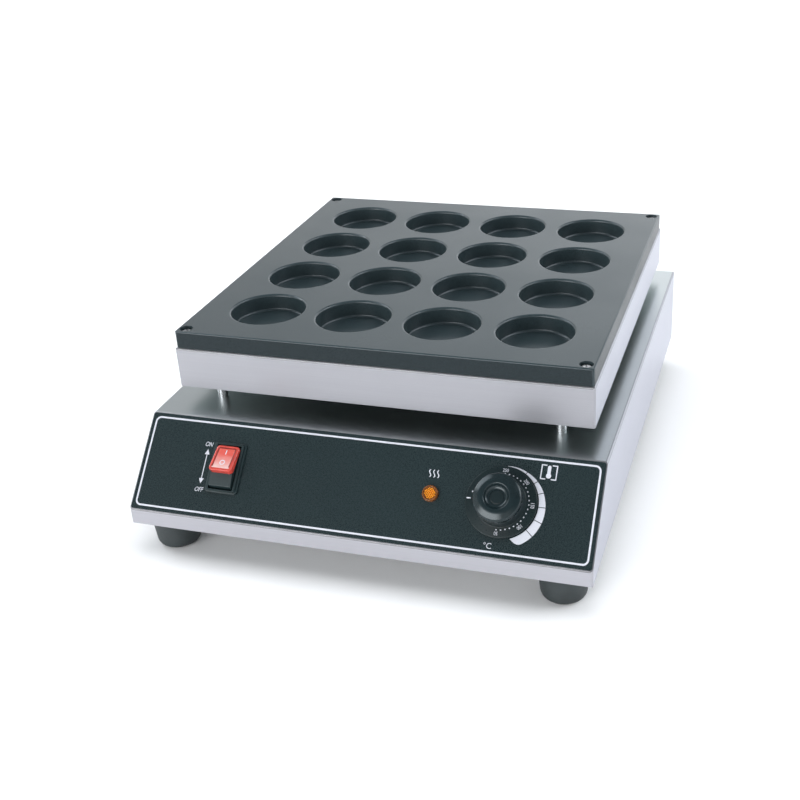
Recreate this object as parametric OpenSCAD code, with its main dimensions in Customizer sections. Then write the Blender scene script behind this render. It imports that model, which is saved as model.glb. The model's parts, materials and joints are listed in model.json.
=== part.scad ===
// Countertop cup griddle: a cast plate with rows of round cups, screwed on a heater box that stands on
// four posts above a folded steel base with a sloped control panel.
// Lengths are in millimetres. The front faces -Y, up is +Z, and the feet stand on Z = 0.

/* [Base] */
// Width of the base across the front
base_w = 400; // [384:1:440]
// Depth of the base from the front lip to the back wall
base_d = 470; // [466:1:520]
// Height of the base from its lower edge to its top
base_h = 76; // [72:1:96]
// Height of the steel lip below the control panel
lip_h = 14; // [10:1:18]
// Slope of the control panel against the level, in degrees
panel_slope = 45; // [42:1:52]
// Thickness of the folded stainless sheet
sheet = 1.2; // [0.8:0.1:1.6]
// Outside radius of the bends in the sheet
bend_r = 2; // [1.8:0.1:3]
// Width of the flange folded in along the lower edge of the base
flange_w = 38; // [34:1:44]
// Thickness of the bottom plate
bottom_t = 1; // [0.8:0.1:1.5]
// Length of one vent slot in the bottom plate
vent_l = 70; // [40:1:100]
// Width of one vent slot
vent_w = 5; // [3:0.5:8]
// Number of vent slots in each of the two groups
vent_count = 9; // [4:1:11]

/* [Feet] */
// Diameter of a rubber foot where it meets the base
foot_d = 43; // [38:0.5:46]
// Diameter of a foot where it stands on the table
foot_low_d = 37; // [31:0.5:37]
// Height of a foot
foot_h = 29; // [22:1:36]
// Distance of a foot's axis from the side of the base
foot_side_inset = 28; // [24:1:32]
// Distance of a foot's axis from the front and the back of the base
foot_end_inset = 26; // [24:1:32]
// Depth of the screw recess in the underside of a foot
foot_recess = 14; // [8:1:18]
// Diameter of the screw recess
foot_recess_d = 17; // [16:0.5:19]

/* [Posts] */
// Diameter of a post between the base and the heater box
post_d = 9; // [8:0.5:14]
// Clear height between the base and the heater box
post_h = 14.5; // [10:0.5:30]
// Distance of a post's axis from the side of the heater box
post_side_inset = 31; // [24:1:40]
// Distance of a post's axis from the front and the back of the heater box
post_end_inset = 17.5; // [12:0.5:24]

/* [Heater box] */
// Width of the heater box
box_w = 370; // [366:1:380]
// Depth of the heater box
box_d = 374; // [372:1:380]
// Height of the heater box
box_h = 37; // [34:1:50]
// Distance from the front lip of the base back to the front of the heater box
box_setback = 86; // [80:1:86]
// Width of the rim folded in at the top of the heater box, under the plate
rim_w = 15; // [14:0.5:17]

/* [Cup plate] */
// Step from the side of the heater box in to the edge of the plate
plate_step = 1; // [0:0.1:2]
// Thickness of the plate at its edge
plate_t = 15.5; // [14:0.5:17]
// Radius along the top edges of the plate
plate_edge_r = 1.5; // [0.5:0.1:3]
// Radius of the plate's upright corners
plate_corner_r = 3; // [1:0.5:6]
// Distance between cup axes along a row
cup_pitch_x = 81.5; // [80:0.5:84]
// Distance between cup axes along a column
cup_pitch_y = 83; // [80:0.5:84]
// Diameter of a cup at its wall
cup_d = 66; // [50:1:68]
// Depth of a cup
cup_depth = 15.5; // [13.5:0.5:18]
// Radius of the rounded mouth of a cup
cup_mouth_r = 2.2; // [1:0.1:3]
// Radius between the wall and the floor of a cup
cup_floor_r = 2.5; // [1:0.1:4]
// Thickness of metal below the floor of a cup
cup_floor_t = 4.5; // [3:0.5:6]
// Thickness of metal around a cup below the plate
cup_wall_t = 4; // [3:0.5:5]
// Distance of a plate screw's axis from the edges of the plate
plate_screw_inset = 8; // [7.5:0.5:9]
// Diameter of the sunk seat of a plate screw
plate_seat_d = 11.5; // [10.5:0.5:12.5]
// Depth of the sunk seat of a plate screw
plate_seat_depth = 5; // [4:0.5:7]

/* [Heating] */
// Diameter of a heating tube
element_d = 8; // [6.5:0.5:10]
// Distance between the two legs of a heating tube
element_gap = 40; // [30:1:46]
// Length of a heating tube's straight legs
element_l = 300; // [240:1:304]
// Distance of the tube ends behind the middle of the plate
element_back = 150; // [140:1:152]
// Diameter of a tube's connecting pin
pin_d = 4; // [3:0.5:5]
// Thickness of a clamp bar under the heating tubes
bar_t = 3; // [2:0.5:4]
// Width of a clamp bar
bar_w = 20; // [16:1:24]
// Diameter of the sensor bulb
bulb_d = 6; // [4:0.5:7]
// Length of the sensor bulb
bulb_l = 100; // [94:1:110]
// Outside diameter of the tube that leads the wires down into the base
wire_tube_d = 18; // [16:0.5:20]
// Wall of that tube
wire_tube_wall = 2; // [1.5:0.1:2.5]
// Distance of that tube behind the middle of the plate
wire_tube_back = 112; // [108:1:116]

/* [Control panel] */
// Thickness of the black panel sheet
overlay_t = 0.8; // [0.5:0.1:1.5]
// Bare steel around the edge of the panel sheet
overlay_margin = 1; // [0.5:0.1:2]
// Height of the row of controls above the middle of the panel
control_rise = 1; // [-2:0.5:3]
// Distance of the rocker switch from the left side of the base
switch_side = 80.5; // [50:0.5:110]
// Distance of the pilot lamp from the right side of the base
lamp_side = 138; // [125:0.5:160]
// Distance of the thermostat knob from the right side of the base
knob_side = 79; // [60:0.5:90]

/* [Rocker switch] */
// Width of the switch's frame on the panel
frame_w = 30; // [29:0.5:36]
// Length of the switch's frame on the panel
frame_l = 44; // [43:0.5:50]
// Thickness of the frame's flange on the panel
frame_t = 2; // [1.5:0.1:3]
// Height of the frame's raised collar above the panel sheet
collar_h = 3.7; // [3:0.1:4]
// Width of the opening that the rocker swings in
well_w = 22; // [22:0.1:23]
// Length of the opening that the rocker swings in
well_l = 38.6; // [38.6:0.1:39.4]
// Wall of the switch housing
housing_wall = 2.4; // [2.4:0.1:3]
// Depth of the switch housing behind the panel
housing_depth = 22; // [20:1:26]
// Tilt of the rocker to each side, in degrees
rocker_tilt = 12; // [8:1:14]
// Diameter of the rocker's pivot pins
pivot_d = 3; // [2:0.5:4]

/* [Pilot lamp] */
// Diameter of the lamp's lens
lens_d = 13.5; // [13:0.5:18]
// Height of the lens above the panel sheet
lens_h = 5; // [3:0.5:8]
// Diameter of the lamp's body behind the panel
lamp_body_d = 10; // [8:0.5:12]
// Length of the lamp's body behind the panel
lamp_body_l = 26; // [20:1:30]

/* [Knob and thermostat] */
// Diameter of the knob's skirt, which carries the scale
skirt_d = 58; // [50:1:62]
// Diameter of the knob's grip where it leaves the skirt
grip_d = 40.5; // [40:0.5:44]
// Diameter of the grip at its top
grip_top_d = 39.5; // [36:0.5:40]
// Height of the knob above the panel sheet
knob_h = 23; // [20:0.5:26]
// Diameter of the plain cap in the middle of the knob
cap_d = 11.5; // [9:0.5:13]
// Diameter of the thermostat's shaft
shaft_d = 6; // [5:0.5:8]
// Width of the thermostat's body
therm_w = 44; // [40:1:50]
// Size of the thermostat's body up the slope
therm_l = 34; // [30:1:36]
// Depth of the thermostat's body behind the panel
therm_depth = 28; // [24:1:30]
// Distance between the thermostat's two fixing screws
therm_screw_gap = 28; // [27:0.5:29]

/* [Cord inlet] */
// Diameter of the inlet gland's bore
gland_bore = 8.5; // [6:0.5:10]
// Diameter of the gland's thread
gland_thread_d = 16; // [14:0.5:20]
// Width of the gland's hexagon across its flats
gland_hex = 22; // [20:0.5:26]
// Length of the gland's domed nut behind its hexagon
gland_dome_l = 14; // [10:1:18]
// Place of the gland, right of the middle seen from the front
gland_x = -120; // [-140:1:-100]
// Height of the gland's axis above the lower edge of the base
gland_z = 32; // [28:1:44]

/* [Hidden] */
$fn = 64;

// Clearances and small standard sizes
fit = 0.25;
touch = 0.2;
running = 0.05;
hole_play = 0.4;
over = 1;
cut_through = 20;
m3 = 3;
m4 = 4;
m5 = 5;
m6 = 6;
head_ratio = 1.85;
head_h_ratio = 0.6;
head_round = 0.35;
cross_w = 0.2;
cross_depth = 0.3;
bolt_head_ratio = 0.7;
nut_ratio = 1.6;
nut_h_ratio = 0.8;
hex_corner = 1 / cos(30);
washer_t = 1.6;
screw_end = 1.5;
shield_t = 0.8;
air_gap = 1;

// Places of the controls, right of the middle
switch_x = switch_side - base_w / 2;
lamp_x = base_w / 2 - lamp_side;
knob_x = base_w / 2 - knob_side;

// Levels, from the table up
z_base = foot_h;
z_top = z_base + base_h;
z_box = z_top + post_h;
z_plate = z_box + box_h;
z_deck = z_plate + plate_t;
z_boss = z_deck - cup_depth - cup_floor_t;
z_element = z_boss - touch - element_d / 2;
z_bar_top = z_element - element_d / 2 - touch;
z_bar = z_bar_top - bar_t;
z_stud_end = z_bar - m6 * nut_h_ratio - screw_end;
z_shield = z_stud_end - air_gap;
z_floor = z_box + sheet;

// Places from front to back
gland_flange_t = 5;
gland_reach = gland_flange_t + gland_dome_l;
gland_lip = 5;
dome_share = 0.6;
dome_r = 2;
dome_rim = 2.5;
dome_rim_r = 1;
gland_nut_h = 5;
gland_spare = 7;
gland_in = sheet + gland_nut_h + gland_spare;
y_front = -(base_d + gland_reach) / 2;
y_back = y_front + base_d;
y_box = y_front + box_setback;
y_mid = y_box + box_d / 2;
panel_run = (base_h - lip_h) / tan(panel_slope);
panel_len = (base_h - lip_h) / sin(panel_slope);
control_v = panel_len / 2 + control_rise;

// The cup plate, with one heating tube under each column of cups
cup_cols = 4;
cup_rows = 4;
plate_w = box_w - 2 * plate_step;
plate_d = box_d - 2 * plate_step;
cup_xs = [for (i = [0 : cup_cols - 1]) (i - (cup_cols - 1) / 2) * cup_pitch_x];
cup_ys = [for (i = [0 : cup_rows - 1]) (i - (cup_rows - 1) / 2) * cup_pitch_y];
plate_corners = corners(plate_w / 2 - plate_screw_inset, plate_d / 2 - plate_screw_inset);

// Clamp bars, their studs and the sensor bulb lie between the rows and columns of cups
bar_ys = [-cup_pitch_y, 0, cup_pitch_y];
stud_xs = [-cup_pitch_x, 0, cup_pitch_x];
stud_grip = 9;
bar_overhang = 12;
bar_corner_r = 3;
bulb_x = cup_pitch_x / 2;
bulb_y = cup_pitch_y / 2;
bulb_z = z_boss - touch - bulb_d / 2;
bulb_end = bulb_y + bulb_l / 2;
saddle_w = 2 * bulb_d;
saddle_l = 12;

// Tube for the wires and its nuts
nut_room = 2;
tube_nut_h = 5;
tube_nut_flats = wire_tube_d + 6;
tube_end = 3;
tube_low = z_top - sheet - tube_nut_h - tube_end;
tube_y = y_mid + wire_tube_back;

// Connections behind the heating tubes
bead_l = 3;
bead_ratio = 0.75;
bus_t = 1;
bus_h = 8;
near_bus = 3;
far_bus = 13;
pin_tail = 5;
comb_drop = 12;
comb_spine = 6;

// Feet and screws through the base
foot_edge_r = 6.5;
post_back_room = 22;
post_y_front = post_end_inset - box_d / 2;
post_y_back = min(-post_y_front, base_d - box_setback - box_d / 2 - post_back_room);
post_x = box_w / 2 - post_side_inset;
post_spots = [for (x = [-post_x, post_x], y = [post_y_front, post_y_back]) [x, y]];
foot_spots = corners(base_w / 2 - foot_side_inset, base_d / 2 - foot_end_inset);
bottom_screw_inset = 20;
bottom_screw_spots = [for (s = [-1, 1], t = [-1, 0, 1])
    [s * (base_w / 2 - bottom_screw_inset), t * (base_d / 2 - 4 * bottom_screw_inset)]];
vent_pitch = 13;
vent_offset = 75;

// Rocker switch, seen along its pivot: v runs up the slope and n out of the panel
housing_w = well_w + 2 * housing_wall;
housing_l = well_l + housing_wall;
rocker_side_gap = 0.8;
lens_side_gap = 0.5;
rocker_end_gap = 1.3;
rocker_w = well_w - 2 * rocker_side_gap;
lens_w = well_w - 2 * lens_side_gap;
rocker_end = well_l / 2 - rocker_end_gap;
lens_low = -7.7;
lens_base = 7;
lens_top = 11;
lens_slant = 7;
lens_corner_r = 3;
lens_dish = 0.4;
lens_dish_r = 1;
lens_end_gap = 1;
lens_rim = 2.6;
pivot_play = 0.4;
pivot_wall = 0.4;
pivot_span = housing_w - 2 * pivot_wall;
rocker_side = 4;
rocker_nose = 3;
rocker_draft = 0.4;
rocker_edge_r = 1;
rocker_heel_r = 0.6;
keel_half = 8;
keel_depth = 7;
keel_r = 2;
frame_r = 3;
collar_r = 2;
tab_l = 10;
tab_w = 6.3;
tab_t = 0.8;
switch_tab_x = 6;
switch_tab_v = 8;

// Thermostat, knob and lamp
clip_t = 3;
lens_wall_share = 0.35;
lens_wall_r = 0.5;
lens_face_share = 0.68;
lens_face_r = 2;
shaft_room = 5;
skirt_gap = 1.2;
skirt_edge = 1.8;
skirt_rise = 1.4;
skirt_edge_r = 0.6;
knob_hollow_d = therm_screw_gap + m4 * head_ratio + 2;
knob_hollow_h = 6;
hub_d = 12;
grip_shoulder_r = 4.5;
bowl_d = 21;
bowl_depth = 3.6;
bowl_edge_r = 0.8;
bowl_floor = 1.8;
bowl_r = 3;
cap_sink = 1.6;
shaft_grip = 9;
shaft_root = 5;
therm_tab_x = 12;

// Inside the base
block_w = 42;
block_l = 24;
block_h = 18;
block_x = -50;
block_back = 90;
block_pole = 12;
pole_depth = 7;
lead_d = 3.2;
capillary_d = 2;
lamp_lead_d = 2;
lead_sides = 8;
lead_steps = 4;
lead_bend = 9;
bend_share = 0.48;
tube_bend = 6;

// Routes of the leads: ends at the connections, levels, and places from front to back
inward = [0, sin(panel_slope), -cos(panel_slope)];
tab_out = -housing_depth - tab_l - touch;
therm_out = -sheet - therm_depth - tab_l - touch;
block_face = y_back - block_back - block_l / 2 - touch;
lead_out = 12;
block_run = 40;
bay_run = 120;
cross_run = 92;
low_rise = 10;
lamp_rise = 24;
middle_drop = 34;
high_drop = 22;
under_drop = 4;
bay_y = y_front + bay_run;
cross_y = y_front + cross_run;
z_low = z_base + low_rise;
z_lamp = z_base + lamp_rise;
z_middle = z_top - middle_drop;
z_high = z_top - high_drop;
z_under = z_bar - under_drop;
tube_side = 3.5;
lamp_lead_gap = 2.5;

// Four points at plus and minus x and y
function corners(x, y) = [for (sx = [-1, 1], sy = [-1, 1]) [sx * x, sy * y]];

// The arc that rounds corner b, between its neighbours a and c, with radius r
function corner_arc(a, b, c, r, steps) =
    let (u = (a - b) / norm(a - b), w = (c - b) / norm(c - b))
    let (half = acos(u * w) / 2, middle = b + (u + w) / norm(u + w) * r / sin(half))
    let (from = b + u * r / tan(half) - middle, to = b + w * r / tan(half) - middle)
    let (start = atan2(from.y, from.x), sweep = (atan2(to.y, to.x) - start + 540) % 360 - 180)
    [for (i = [0 : steps]) let (a = start + sweep * i / steps) middle + r * [cos(a), sin(a)]];

// A closed outline from points [x, y, r], where r rounds that corner
function outline(points, steps = 6) = [for (i = [0 : len(points) - 1])
    let (n = len(points), p = points[i], a = points[(i + n - 1) % n], c = points[(i + 1) % n])
    each p[2] == 0 ? [[p.x, p.y]] : corner_arc([a.x, a.y], [p.x, p.y], [c.x, c.y], p[2], steps)];

// The side profile of the base, taken in by t on every side but the open bottom
function base_outline(t, r, low) = outline([
    [t, low, 0],
    [t, lip_h - t * tan(45 - panel_slope / 2), r],
    [panel_run + t * tan(panel_slope / 2), base_h - t, r],
    [base_d - t, base_h - t, r],
    [base_d - t, low, 0]]);

// A route through points in space with its corners rounded by a curve that starts bend before each
function eased(points, bend) = [for (i = [0 : len(points) - 1])
    let (p = points[i])
    each i == 0 || i == len(points) - 1 ? [p] :
        let (a = points[i - 1] - p, c = points[i + 1] - p)
        let (from = p + unit(a) * min(bend, norm(a) * bend_share))
        let (to = p + unit(c) * min(bend, norm(c) * bend_share))
        [for (k = [0 : lead_steps]) let (t = k / lead_steps)
            (1 - t) * (1 - t) * from + 2 * t * (1 - t) * p + t * t * to]];

function unit(v) = v / norm(v);

// Direction of a route at each of its points, and a side direction carried along it without twist
function tangents(path) = [for (i = [0 : len(path) - 1])
    unit(path[min(i + 1, len(path) - 1)] - path[max(i - 1, 0)])];
function square_to(v, t) = unit(v - (v * t) * t);
function first_side(t) = square_to(abs(t.x) < 0.8 ? [1, 0, 0] : [0, 1, 0], t);
function sides_along(ts) = [for (i = 0, s = first_side(ts[0]); i < len(ts);
    i = i + 1, s = i < len(ts) ? square_to(s, ts[i]) : s) s];

// A round tube of diameter d along a route
module lead(points, d, bend = lead_bend) {
    path = eased(points, bend);
    ts = tangents(path);
    ss = sides_along(ts);
    n = lead_sides;
    last = len(path) - 1;
    rings = [for (i = [0 : last], k = [0 : n - 1])
        path[i] + d / 2 * (cos(360 * k / n) * ss[i] + sin(360 * k / n) * cross(ts[i], ss[i]))];
    walls = [for (i = [0 : last - 1], k = [0 : n - 1]) let (a = i * n + k, b = i * n + (k + 1) % n)
        each [[a, b, b + n], [a, b + n, a + n]]];
    lids = [for (k = [1 : n - 2]) each [[0, k + 1, k], [last * n, last * n + k, last * n + k + 1]]];
    polyhedron(points = rings, faces = [for (f = concat(walls, lids)) [f[2], f[1], f[0]]]);
}

// A rectangle with rounded corners about the origin
module rounded(w, d, r) {
    square([w - 2 * r, d], center = true);
    square([w, d - 2 * r], center = true);
    for (p = corners(w / 2 - r, d / 2 - r)) translate(p) circle(r);
}

// A slot with round ends, along x
module slot(l, w) {
    square([l - w, w], center = true);
    for (s = [-1, 1]) translate([s * (l - w) / 2, 0]) circle(d = w);
}

// A rectangle standing on the x axis with its two upper corners rounded
module arched(w, h, r) {
    translate([-w / 2, 0]) square([w, h - r]);
    translate([-w / 2 + r, 0]) square([w - 2 * r, h]);
    for (s = [-1, 1]) translate([s * (w / 2 - r), h - r]) circle(r);
}

// Extrusions of an upright profile along the width and along the depth
module along_x(w) {
    translate([-w / 2, 0, 0]) rotate([90, 0, 90]) linear_extrude(w) children();
}
module along_y(d) {
    translate([0, d / 2, 0]) rotate([90, 0, 0]) linear_extrude(d) children();
}

// A block on the ground plane with rounded upright corners and rounded top edges
module pillow_block(w, d, h, upright_r, top_r) {
    intersection() {
        linear_extrude(h) rounded(w, d, upright_r);
        along_y(d) arched(w, h, top_r);
        along_x(w) arched(d, h, top_r);
    }
}

// Frames of reference
module in_base() {
    translate([0, y_front, z_base]) children();
}
module on_panel(x, v) {
    translate([0, y_front, z_base + lip_h]) rotate([panel_slope, 0, 0]) translate([x, v, 0]) children();
}
module in_box(z) {
    translate([0, y_mid, z]) children();
}
module under_base(z) {
    translate([0, y_front + base_d / 2, z]) children();
}
module at_inlet(out) {
    translate([gland_x, y_back + out, z_base + gland_z]) rotate([-90, 0, 0]) children();
}
module at_each(spots) {
    for (p = spots) translate([p.x, p.y, 0]) children();
}

// A place on the control panel in the part's own frame, for the ends of the leads
function panel_point(x, v, n) = [x,
    y_front + v * cos(panel_slope) - n * sin(panel_slope),
    z_base + lip_h + v * sin(panel_slope) + n * cos(panel_slope)];

// Fasteners along +Z, with the bearing face of the head at Z = 0 and the head below it
module pan_screw(d, l) {
    head_r = d * head_ratio / 2;
    head_h = d * head_h_ratio;
    translate([0, 0, -head_h]) difference() {
        rotate_extrude() polygon(outline([[0, 0, 0], [head_r, 0, d * head_round], [head_r, head_h, 0],
            [0, head_h, 0]], 4));
        for (a = [0, 90]) rotate(a) translate([-d / 2, -d * cross_w / 2, -over])
            cube([d, d * cross_w, over + d * cross_depth]);
    }
    cylinder(d = d, h = l);
}
module hex_bolt(d, l) {
    head_h = d * bolt_head_ratio;
    translate([0, 0, -head_h]) cylinder(d = d * nut_ratio * hex_corner, h = head_h, $fn = 6);
    cylinder(d = d, h = l);
}
module ring_nut(d, flats, h) {
    difference() {
        cylinder(d = flats * hex_corner, h = h, $fn = 6);
        translate([0, 0, -over]) cylinder(d = d + 2 * running, h = h + 2 * over);
    }
}
module hex_nut(d) {
    ring_nut(d, d * nut_ratio, d * nut_h_ratio);
}

// Cuts that pieces share
module switch_cut() {
    on_panel(switch_x, control_v)
        cube([housing_w + 2 * fit, housing_l + 2 * fit, cut_through], center = true);
}
module lamp_cut() {
    on_panel(lamp_x, control_v) cylinder(d = lamp_body_d + 2 * fit, h = cut_through, center = true);
}
module thermostat_cut() {
    on_panel(knob_x, control_v) {
        cylinder(d = shaft_d + shaft_room, h = cut_through, center = true);
        for (s = [-1, 1]) translate([s * therm_screw_gap / 2, 0, 0])
            cylinder(d = m4 + hole_play, h = cut_through, center = true);
    }
}

// Folded steel base, open below, with a flange all round its lower edge
module base_shell() {
    color("silver") difference() {
        union() {
            in_base() difference() {
                intersection() {
                    along_x(base_w) polygon(base_outline(0, bend_r, 0));
                    translate([0, base_d / 2, 0]) linear_extrude(base_h) rounded(base_w, base_d, bend_r);
                    translate([0, base_d / 2, 0]) along_y(base_d) arched(base_w, base_h, bend_r);
                }
                along_x(base_w - 2 * sheet) polygon(base_outline(sheet, bend_r - sheet, -over));
            }
            under_base(z_base + bottom_t) linear_extrude(sheet) difference() {
                square([base_w - sheet, base_d - sheet], center = true);
                square([base_w - 2 * (sheet + flange_w), base_d - 2 * (sheet + flange_w)], center = true);
            }
        }
        switch_cut();
        lamp_cut();
        thermostat_cut();
        in_box(z_top - sheet - over) {
            at_each(post_spots) cylinder(d = m5 + hole_play, h = sheet + 2 * over);
            translate([0, wire_tube_back, 0]) cylinder(d = wire_tube_d + hole_play, h = sheet + 2 * over);
        }
        under_base(z_base) {
            at_each(foot_spots) cylinder(d = m6 + hole_play, h = bottom_t + sheet + over);
            at_each(bottom_screw_spots) cylinder(d = m4 + 2 * running, h = bottom_t + sheet + over);
        }
        at_inlet(0) cylinder(d = gland_thread_d + 2 * fit, h = cut_through, center = true);
    }
}

// Bottom plate, let in flush below the flange, with two groups of vent slots
module bottom_plate() {
    color("gainsboro") under_base(z_base) difference() {
        linear_extrude(bottom_t) difference() {
            square([base_w - 2 * (sheet + fit), base_d - 2 * (sheet + fit)], center = true);
            for (s = [-1, 1], i = [0 : vent_count - 1])
                translate([s * vent_offset, (i - (vent_count - 1) / 2) * vent_pitch]) slot(vent_l, vent_w);
        }
        translate([0, 0, -over]) {
            at_each(foot_spots) cylinder(d = m6 + hole_play, h = bottom_t + 2 * over);
            at_each(bottom_screw_spots) cylinder(d = m4 + hole_play, h = bottom_t + 2 * over);
        }
    }
}

module bottom_screws() {
    color("lightgray") under_base(z_base) at_each(bottom_screw_spots)
        pan_screw(m4, bottom_t + sheet + m4);
}

// Rubber foot with a round lower edge and a recess for its screw
module feet() {
    color([0.12, 0.12, 0.13]) under_base(0) at_each(foot_spots) difference() {
        rotate_extrude() polygon(outline([
            [0, 0, 0],
            [foot_low_d / 2, 0, foot_edge_r],
            [foot_d / 2, foot_h, 0],
            [0, foot_h, 0]]));
        translate([0, 0, -over]) {
            cylinder(d = foot_recess_d, h = foot_recess + over);
            cylinder(d = m6 + hole_play, h = foot_h + 2 * over);
        }
    }
}

module foot_washers() {
    color("silver") under_base(foot_recess - washer_t) at_each(foot_spots) difference() {
        cylinder(d = foot_recess_d - 2 * fit, h = washer_t);
        translate([0, 0, -over]) cylinder(d = m6 + hole_play, h = washer_t + 2 * over);
    }
}

module foot_screws() {
    color("lightgray") under_base(foot_recess - washer_t) at_each(foot_spots)
        pan_screw(m6, foot_h - foot_recess + washer_t + bottom_t + sheet + m6 * nut_h_ratio + screw_end);
}

module foot_nuts() {
    color("lightgray") under_base(z_base + bottom_t + sheet) at_each(foot_spots) hex_nut(m6);
}

// Posts that carry the heater box, each on a bolt through base and box
module posts() {
    color("silver") in_box(z_top) at_each(post_spots) difference() {
        cylinder(d = post_d, h = post_h);
        translate([0, 0, -over]) cylinder(d = m5 + hole_play, h = post_h + 2 * over);
    }
}

module post_bolts() {
    color("lightgray") in_box(z_top - sheet) at_each(post_spots)
        hex_bolt(m5, post_h + 2 * sheet + m5 * nut_h_ratio + screw_end);
}

module post_nuts() {
    color("lightgray") in_box(z_floor) at_each(post_spots) hex_nut(m5);
}

// Heater box: a tray with its upper rim folded in, on which the plate rests
module heater_box() {
    color("silver") in_box(z_box) difference() {
        pillow_block(box_w, box_d, box_h, bend_r, bend_r);
        translate([0, 0, sheet]) linear_extrude(box_h - 2 * sheet)
            rounded(box_w - 2 * sheet, box_d - 2 * sheet, bend_r - sheet);
        translate([0, 0, box_h - sheet - over]) linear_extrude(sheet + 2 * over)
            square([box_w - 2 * (sheet + rim_w), box_d - 2 * (sheet + rim_w)], center = true);
        translate([0, 0, -over]) {
            at_each(post_spots) cylinder(d = m5 + hole_play, h = sheet + 2 * over);
            translate([0, wire_tube_back, 0]) cylinder(d = wire_tube_d + hole_play, h = sheet + 2 * over);
        }
        translate([0, 0, box_h - sheet - over]) at_each(plate_corners)
            cylinder(d = m5 + hole_play, h = sheet + 2 * over);
    }
}

// One cup's hollow about the Z axis: a rounded mouth at Z = 0 and a rounded edge round its floor
module cup_hollow() {
    rotate_extrude($fn = 96) difference() {
        union() {
            translate([0, -cup_depth + cup_floor_r]) square([cup_d / 2, cup_depth - cup_floor_r + over]);
            translate([0, -cup_depth]) square([cup_d / 2 - cup_floor_r, cup_depth]);
            translate([cup_d / 2 - cup_floor_r, -cup_depth + cup_floor_r]) circle(cup_floor_r);
            translate([0, -cup_mouth_r]) square([cup_d / 2 + cup_mouth_r, cup_mouth_r + over]);
        }
        translate([cup_d / 2 + cup_mouth_r, -cup_mouth_r]) circle(cup_mouth_r);
    }
}

// Cast plate: the cups stand down below its flat underside as round pads for the heating tubes
module cup_plate() {
    color([0.2, 0.21, 0.22]) difference() {
        union() {
            in_box(z_plate) pillow_block(plate_w, plate_d, plate_t, plate_corner_r, plate_edge_r);
            for (x = cup_xs, y = cup_ys) in_box(z_boss) translate([x, y, 0])
                cylinder(d = cup_d + 2 * cup_wall_t, h = z_plate + over - z_boss);
        }
        for (x = cup_xs, y = cup_ys) in_box(z_deck) translate([x, y, 0]) cup_hollow();
        in_box(z_plate - over) {
            at_each(plate_corners) {
                cylinder(d = m5 + hole_play, h = plate_t + 2 * over);
                translate([0, 0, over + plate_t - plate_seat_depth])
                    cylinder(d = plate_seat_d, h = plate_t);
            }
            for (x = stud_xs, y = bar_ys) translate([x, y, 0])
                cylinder(d = m6 + 2 * running, h = stud_grip + touch + over);
        }
    }
}

module plate_screws() {
    color("lightgray") in_box(z_deck - plate_seat_depth) at_each(plate_corners) mirror([0, 0, 1])
        pan_screw(m5, plate_t - plate_seat_depth + sheet + m5 * nut_h_ratio + screw_end);
}

module plate_nuts() {
    color("lightgray") in_box(z_plate - sheet - m5 * nut_h_ratio) at_each(plate_corners) hex_nut(m5);
}

// Hairpin heating tube under one column of cups, with its connecting pins at the back
module heating_tube(number) {
    far_pin = far_bus + bus_t + pin_tail;
    near_pin = near_bus + bus_t + pin_tail;
    color("dimgray") in_box(z_element) translate([cup_xs[number - 1], element_back, 0]) {
        for (s = [-1, 1]) translate([s * element_gap / 2, 0, 0]) rotate([90, 0, 0]) {
            cylinder(d = element_d, h = element_l);
            translate([0, 0, -bead_l]) cylinder(d = bead_ratio * element_d, h = bead_l);
            translate([0, 0, s < 0 ? -far_pin : -near_pin]) cylinder(d = pin_d, h = far_pin);
        }
        translate([0, -element_l, 0]) rotate([0, 0, 180]) rotate_extrude(angle = 180)
            translate([element_gap / 2, 0]) circle(d = element_d);
    }
}

// Bar that presses the heating tubes up against the cup pads
module clamp_bar(y) {
    bar_l = (cup_cols - 1) * cup_pitch_x + element_gap + element_d + 2 * bar_overhang;
    color("gray") in_box(z_bar) translate([0, y, 0]) difference() {
        linear_extrude(bar_t) rounded(bar_l, bar_w, bar_corner_r);
        translate([0, 0, -over]) for (x = stud_xs) translate([x, 0, 0])
            cylinder(d = m6 + hole_play, h = bar_t + 2 * over);
    }
}

module clamp_studs() {
    color("lightgray") in_box(z_stud_end) for (x = stud_xs, y = bar_ys) translate([x, y, 0])
        cylinder(d = m6, h = z_plate + stud_grip - z_stud_end);
}

module clamp_nuts() {
    color("lightgray") in_box(z_bar - m6 * nut_h_ratio) for (x = stud_xs, y = bar_ys) translate([x, y, 0])
        hex_nut(m6);
}

// Strip over the long pins of all the heating tubes
module bus_bar_live() {
    strip_l = (cup_cols - 1) * cup_pitch_x + 3 * element_d;
    place = [-element_gap / 2, element_back + far_bus, 0];
    color("khaki") in_box(z_element) translate(place) difference() {
        translate([-strip_l / 2, 0, -bus_h / 2]) cube([strip_l, bus_t, bus_h]);
        for (x = cup_xs) translate([x, 0, 0]) rotate([90, 0, 0])
            cylinder(d = pin_d + 2 * running, h = 4 * bus_t, center = true);
    }
}

// Comb over the short pins, with its spine below the long ones
module bus_bar_neutral() {
    strip_l = (cup_cols - 1) * cup_pitch_x + element_d + element_gap;
    color("khaki") in_box(z_element) translate([0, element_back + near_bus, 0]) difference() {
        union() {
            translate([-strip_l / 2, 0, -comb_drop]) cube([strip_l, bus_t, comb_spine]);
            for (x = cup_xs) translate([x + element_gap / 2 - bus_h / 2, 0, -comb_drop])
                cube([bus_h, bus_t, comb_drop + bus_h / 2]);
        }
        for (x = cup_xs) translate([x + element_gap / 2, 0, 0]) rotate([90, 0, 0])
            cylinder(d = pin_d + 2 * running, h = 4 * bus_t, center = true);
    }
}

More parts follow.
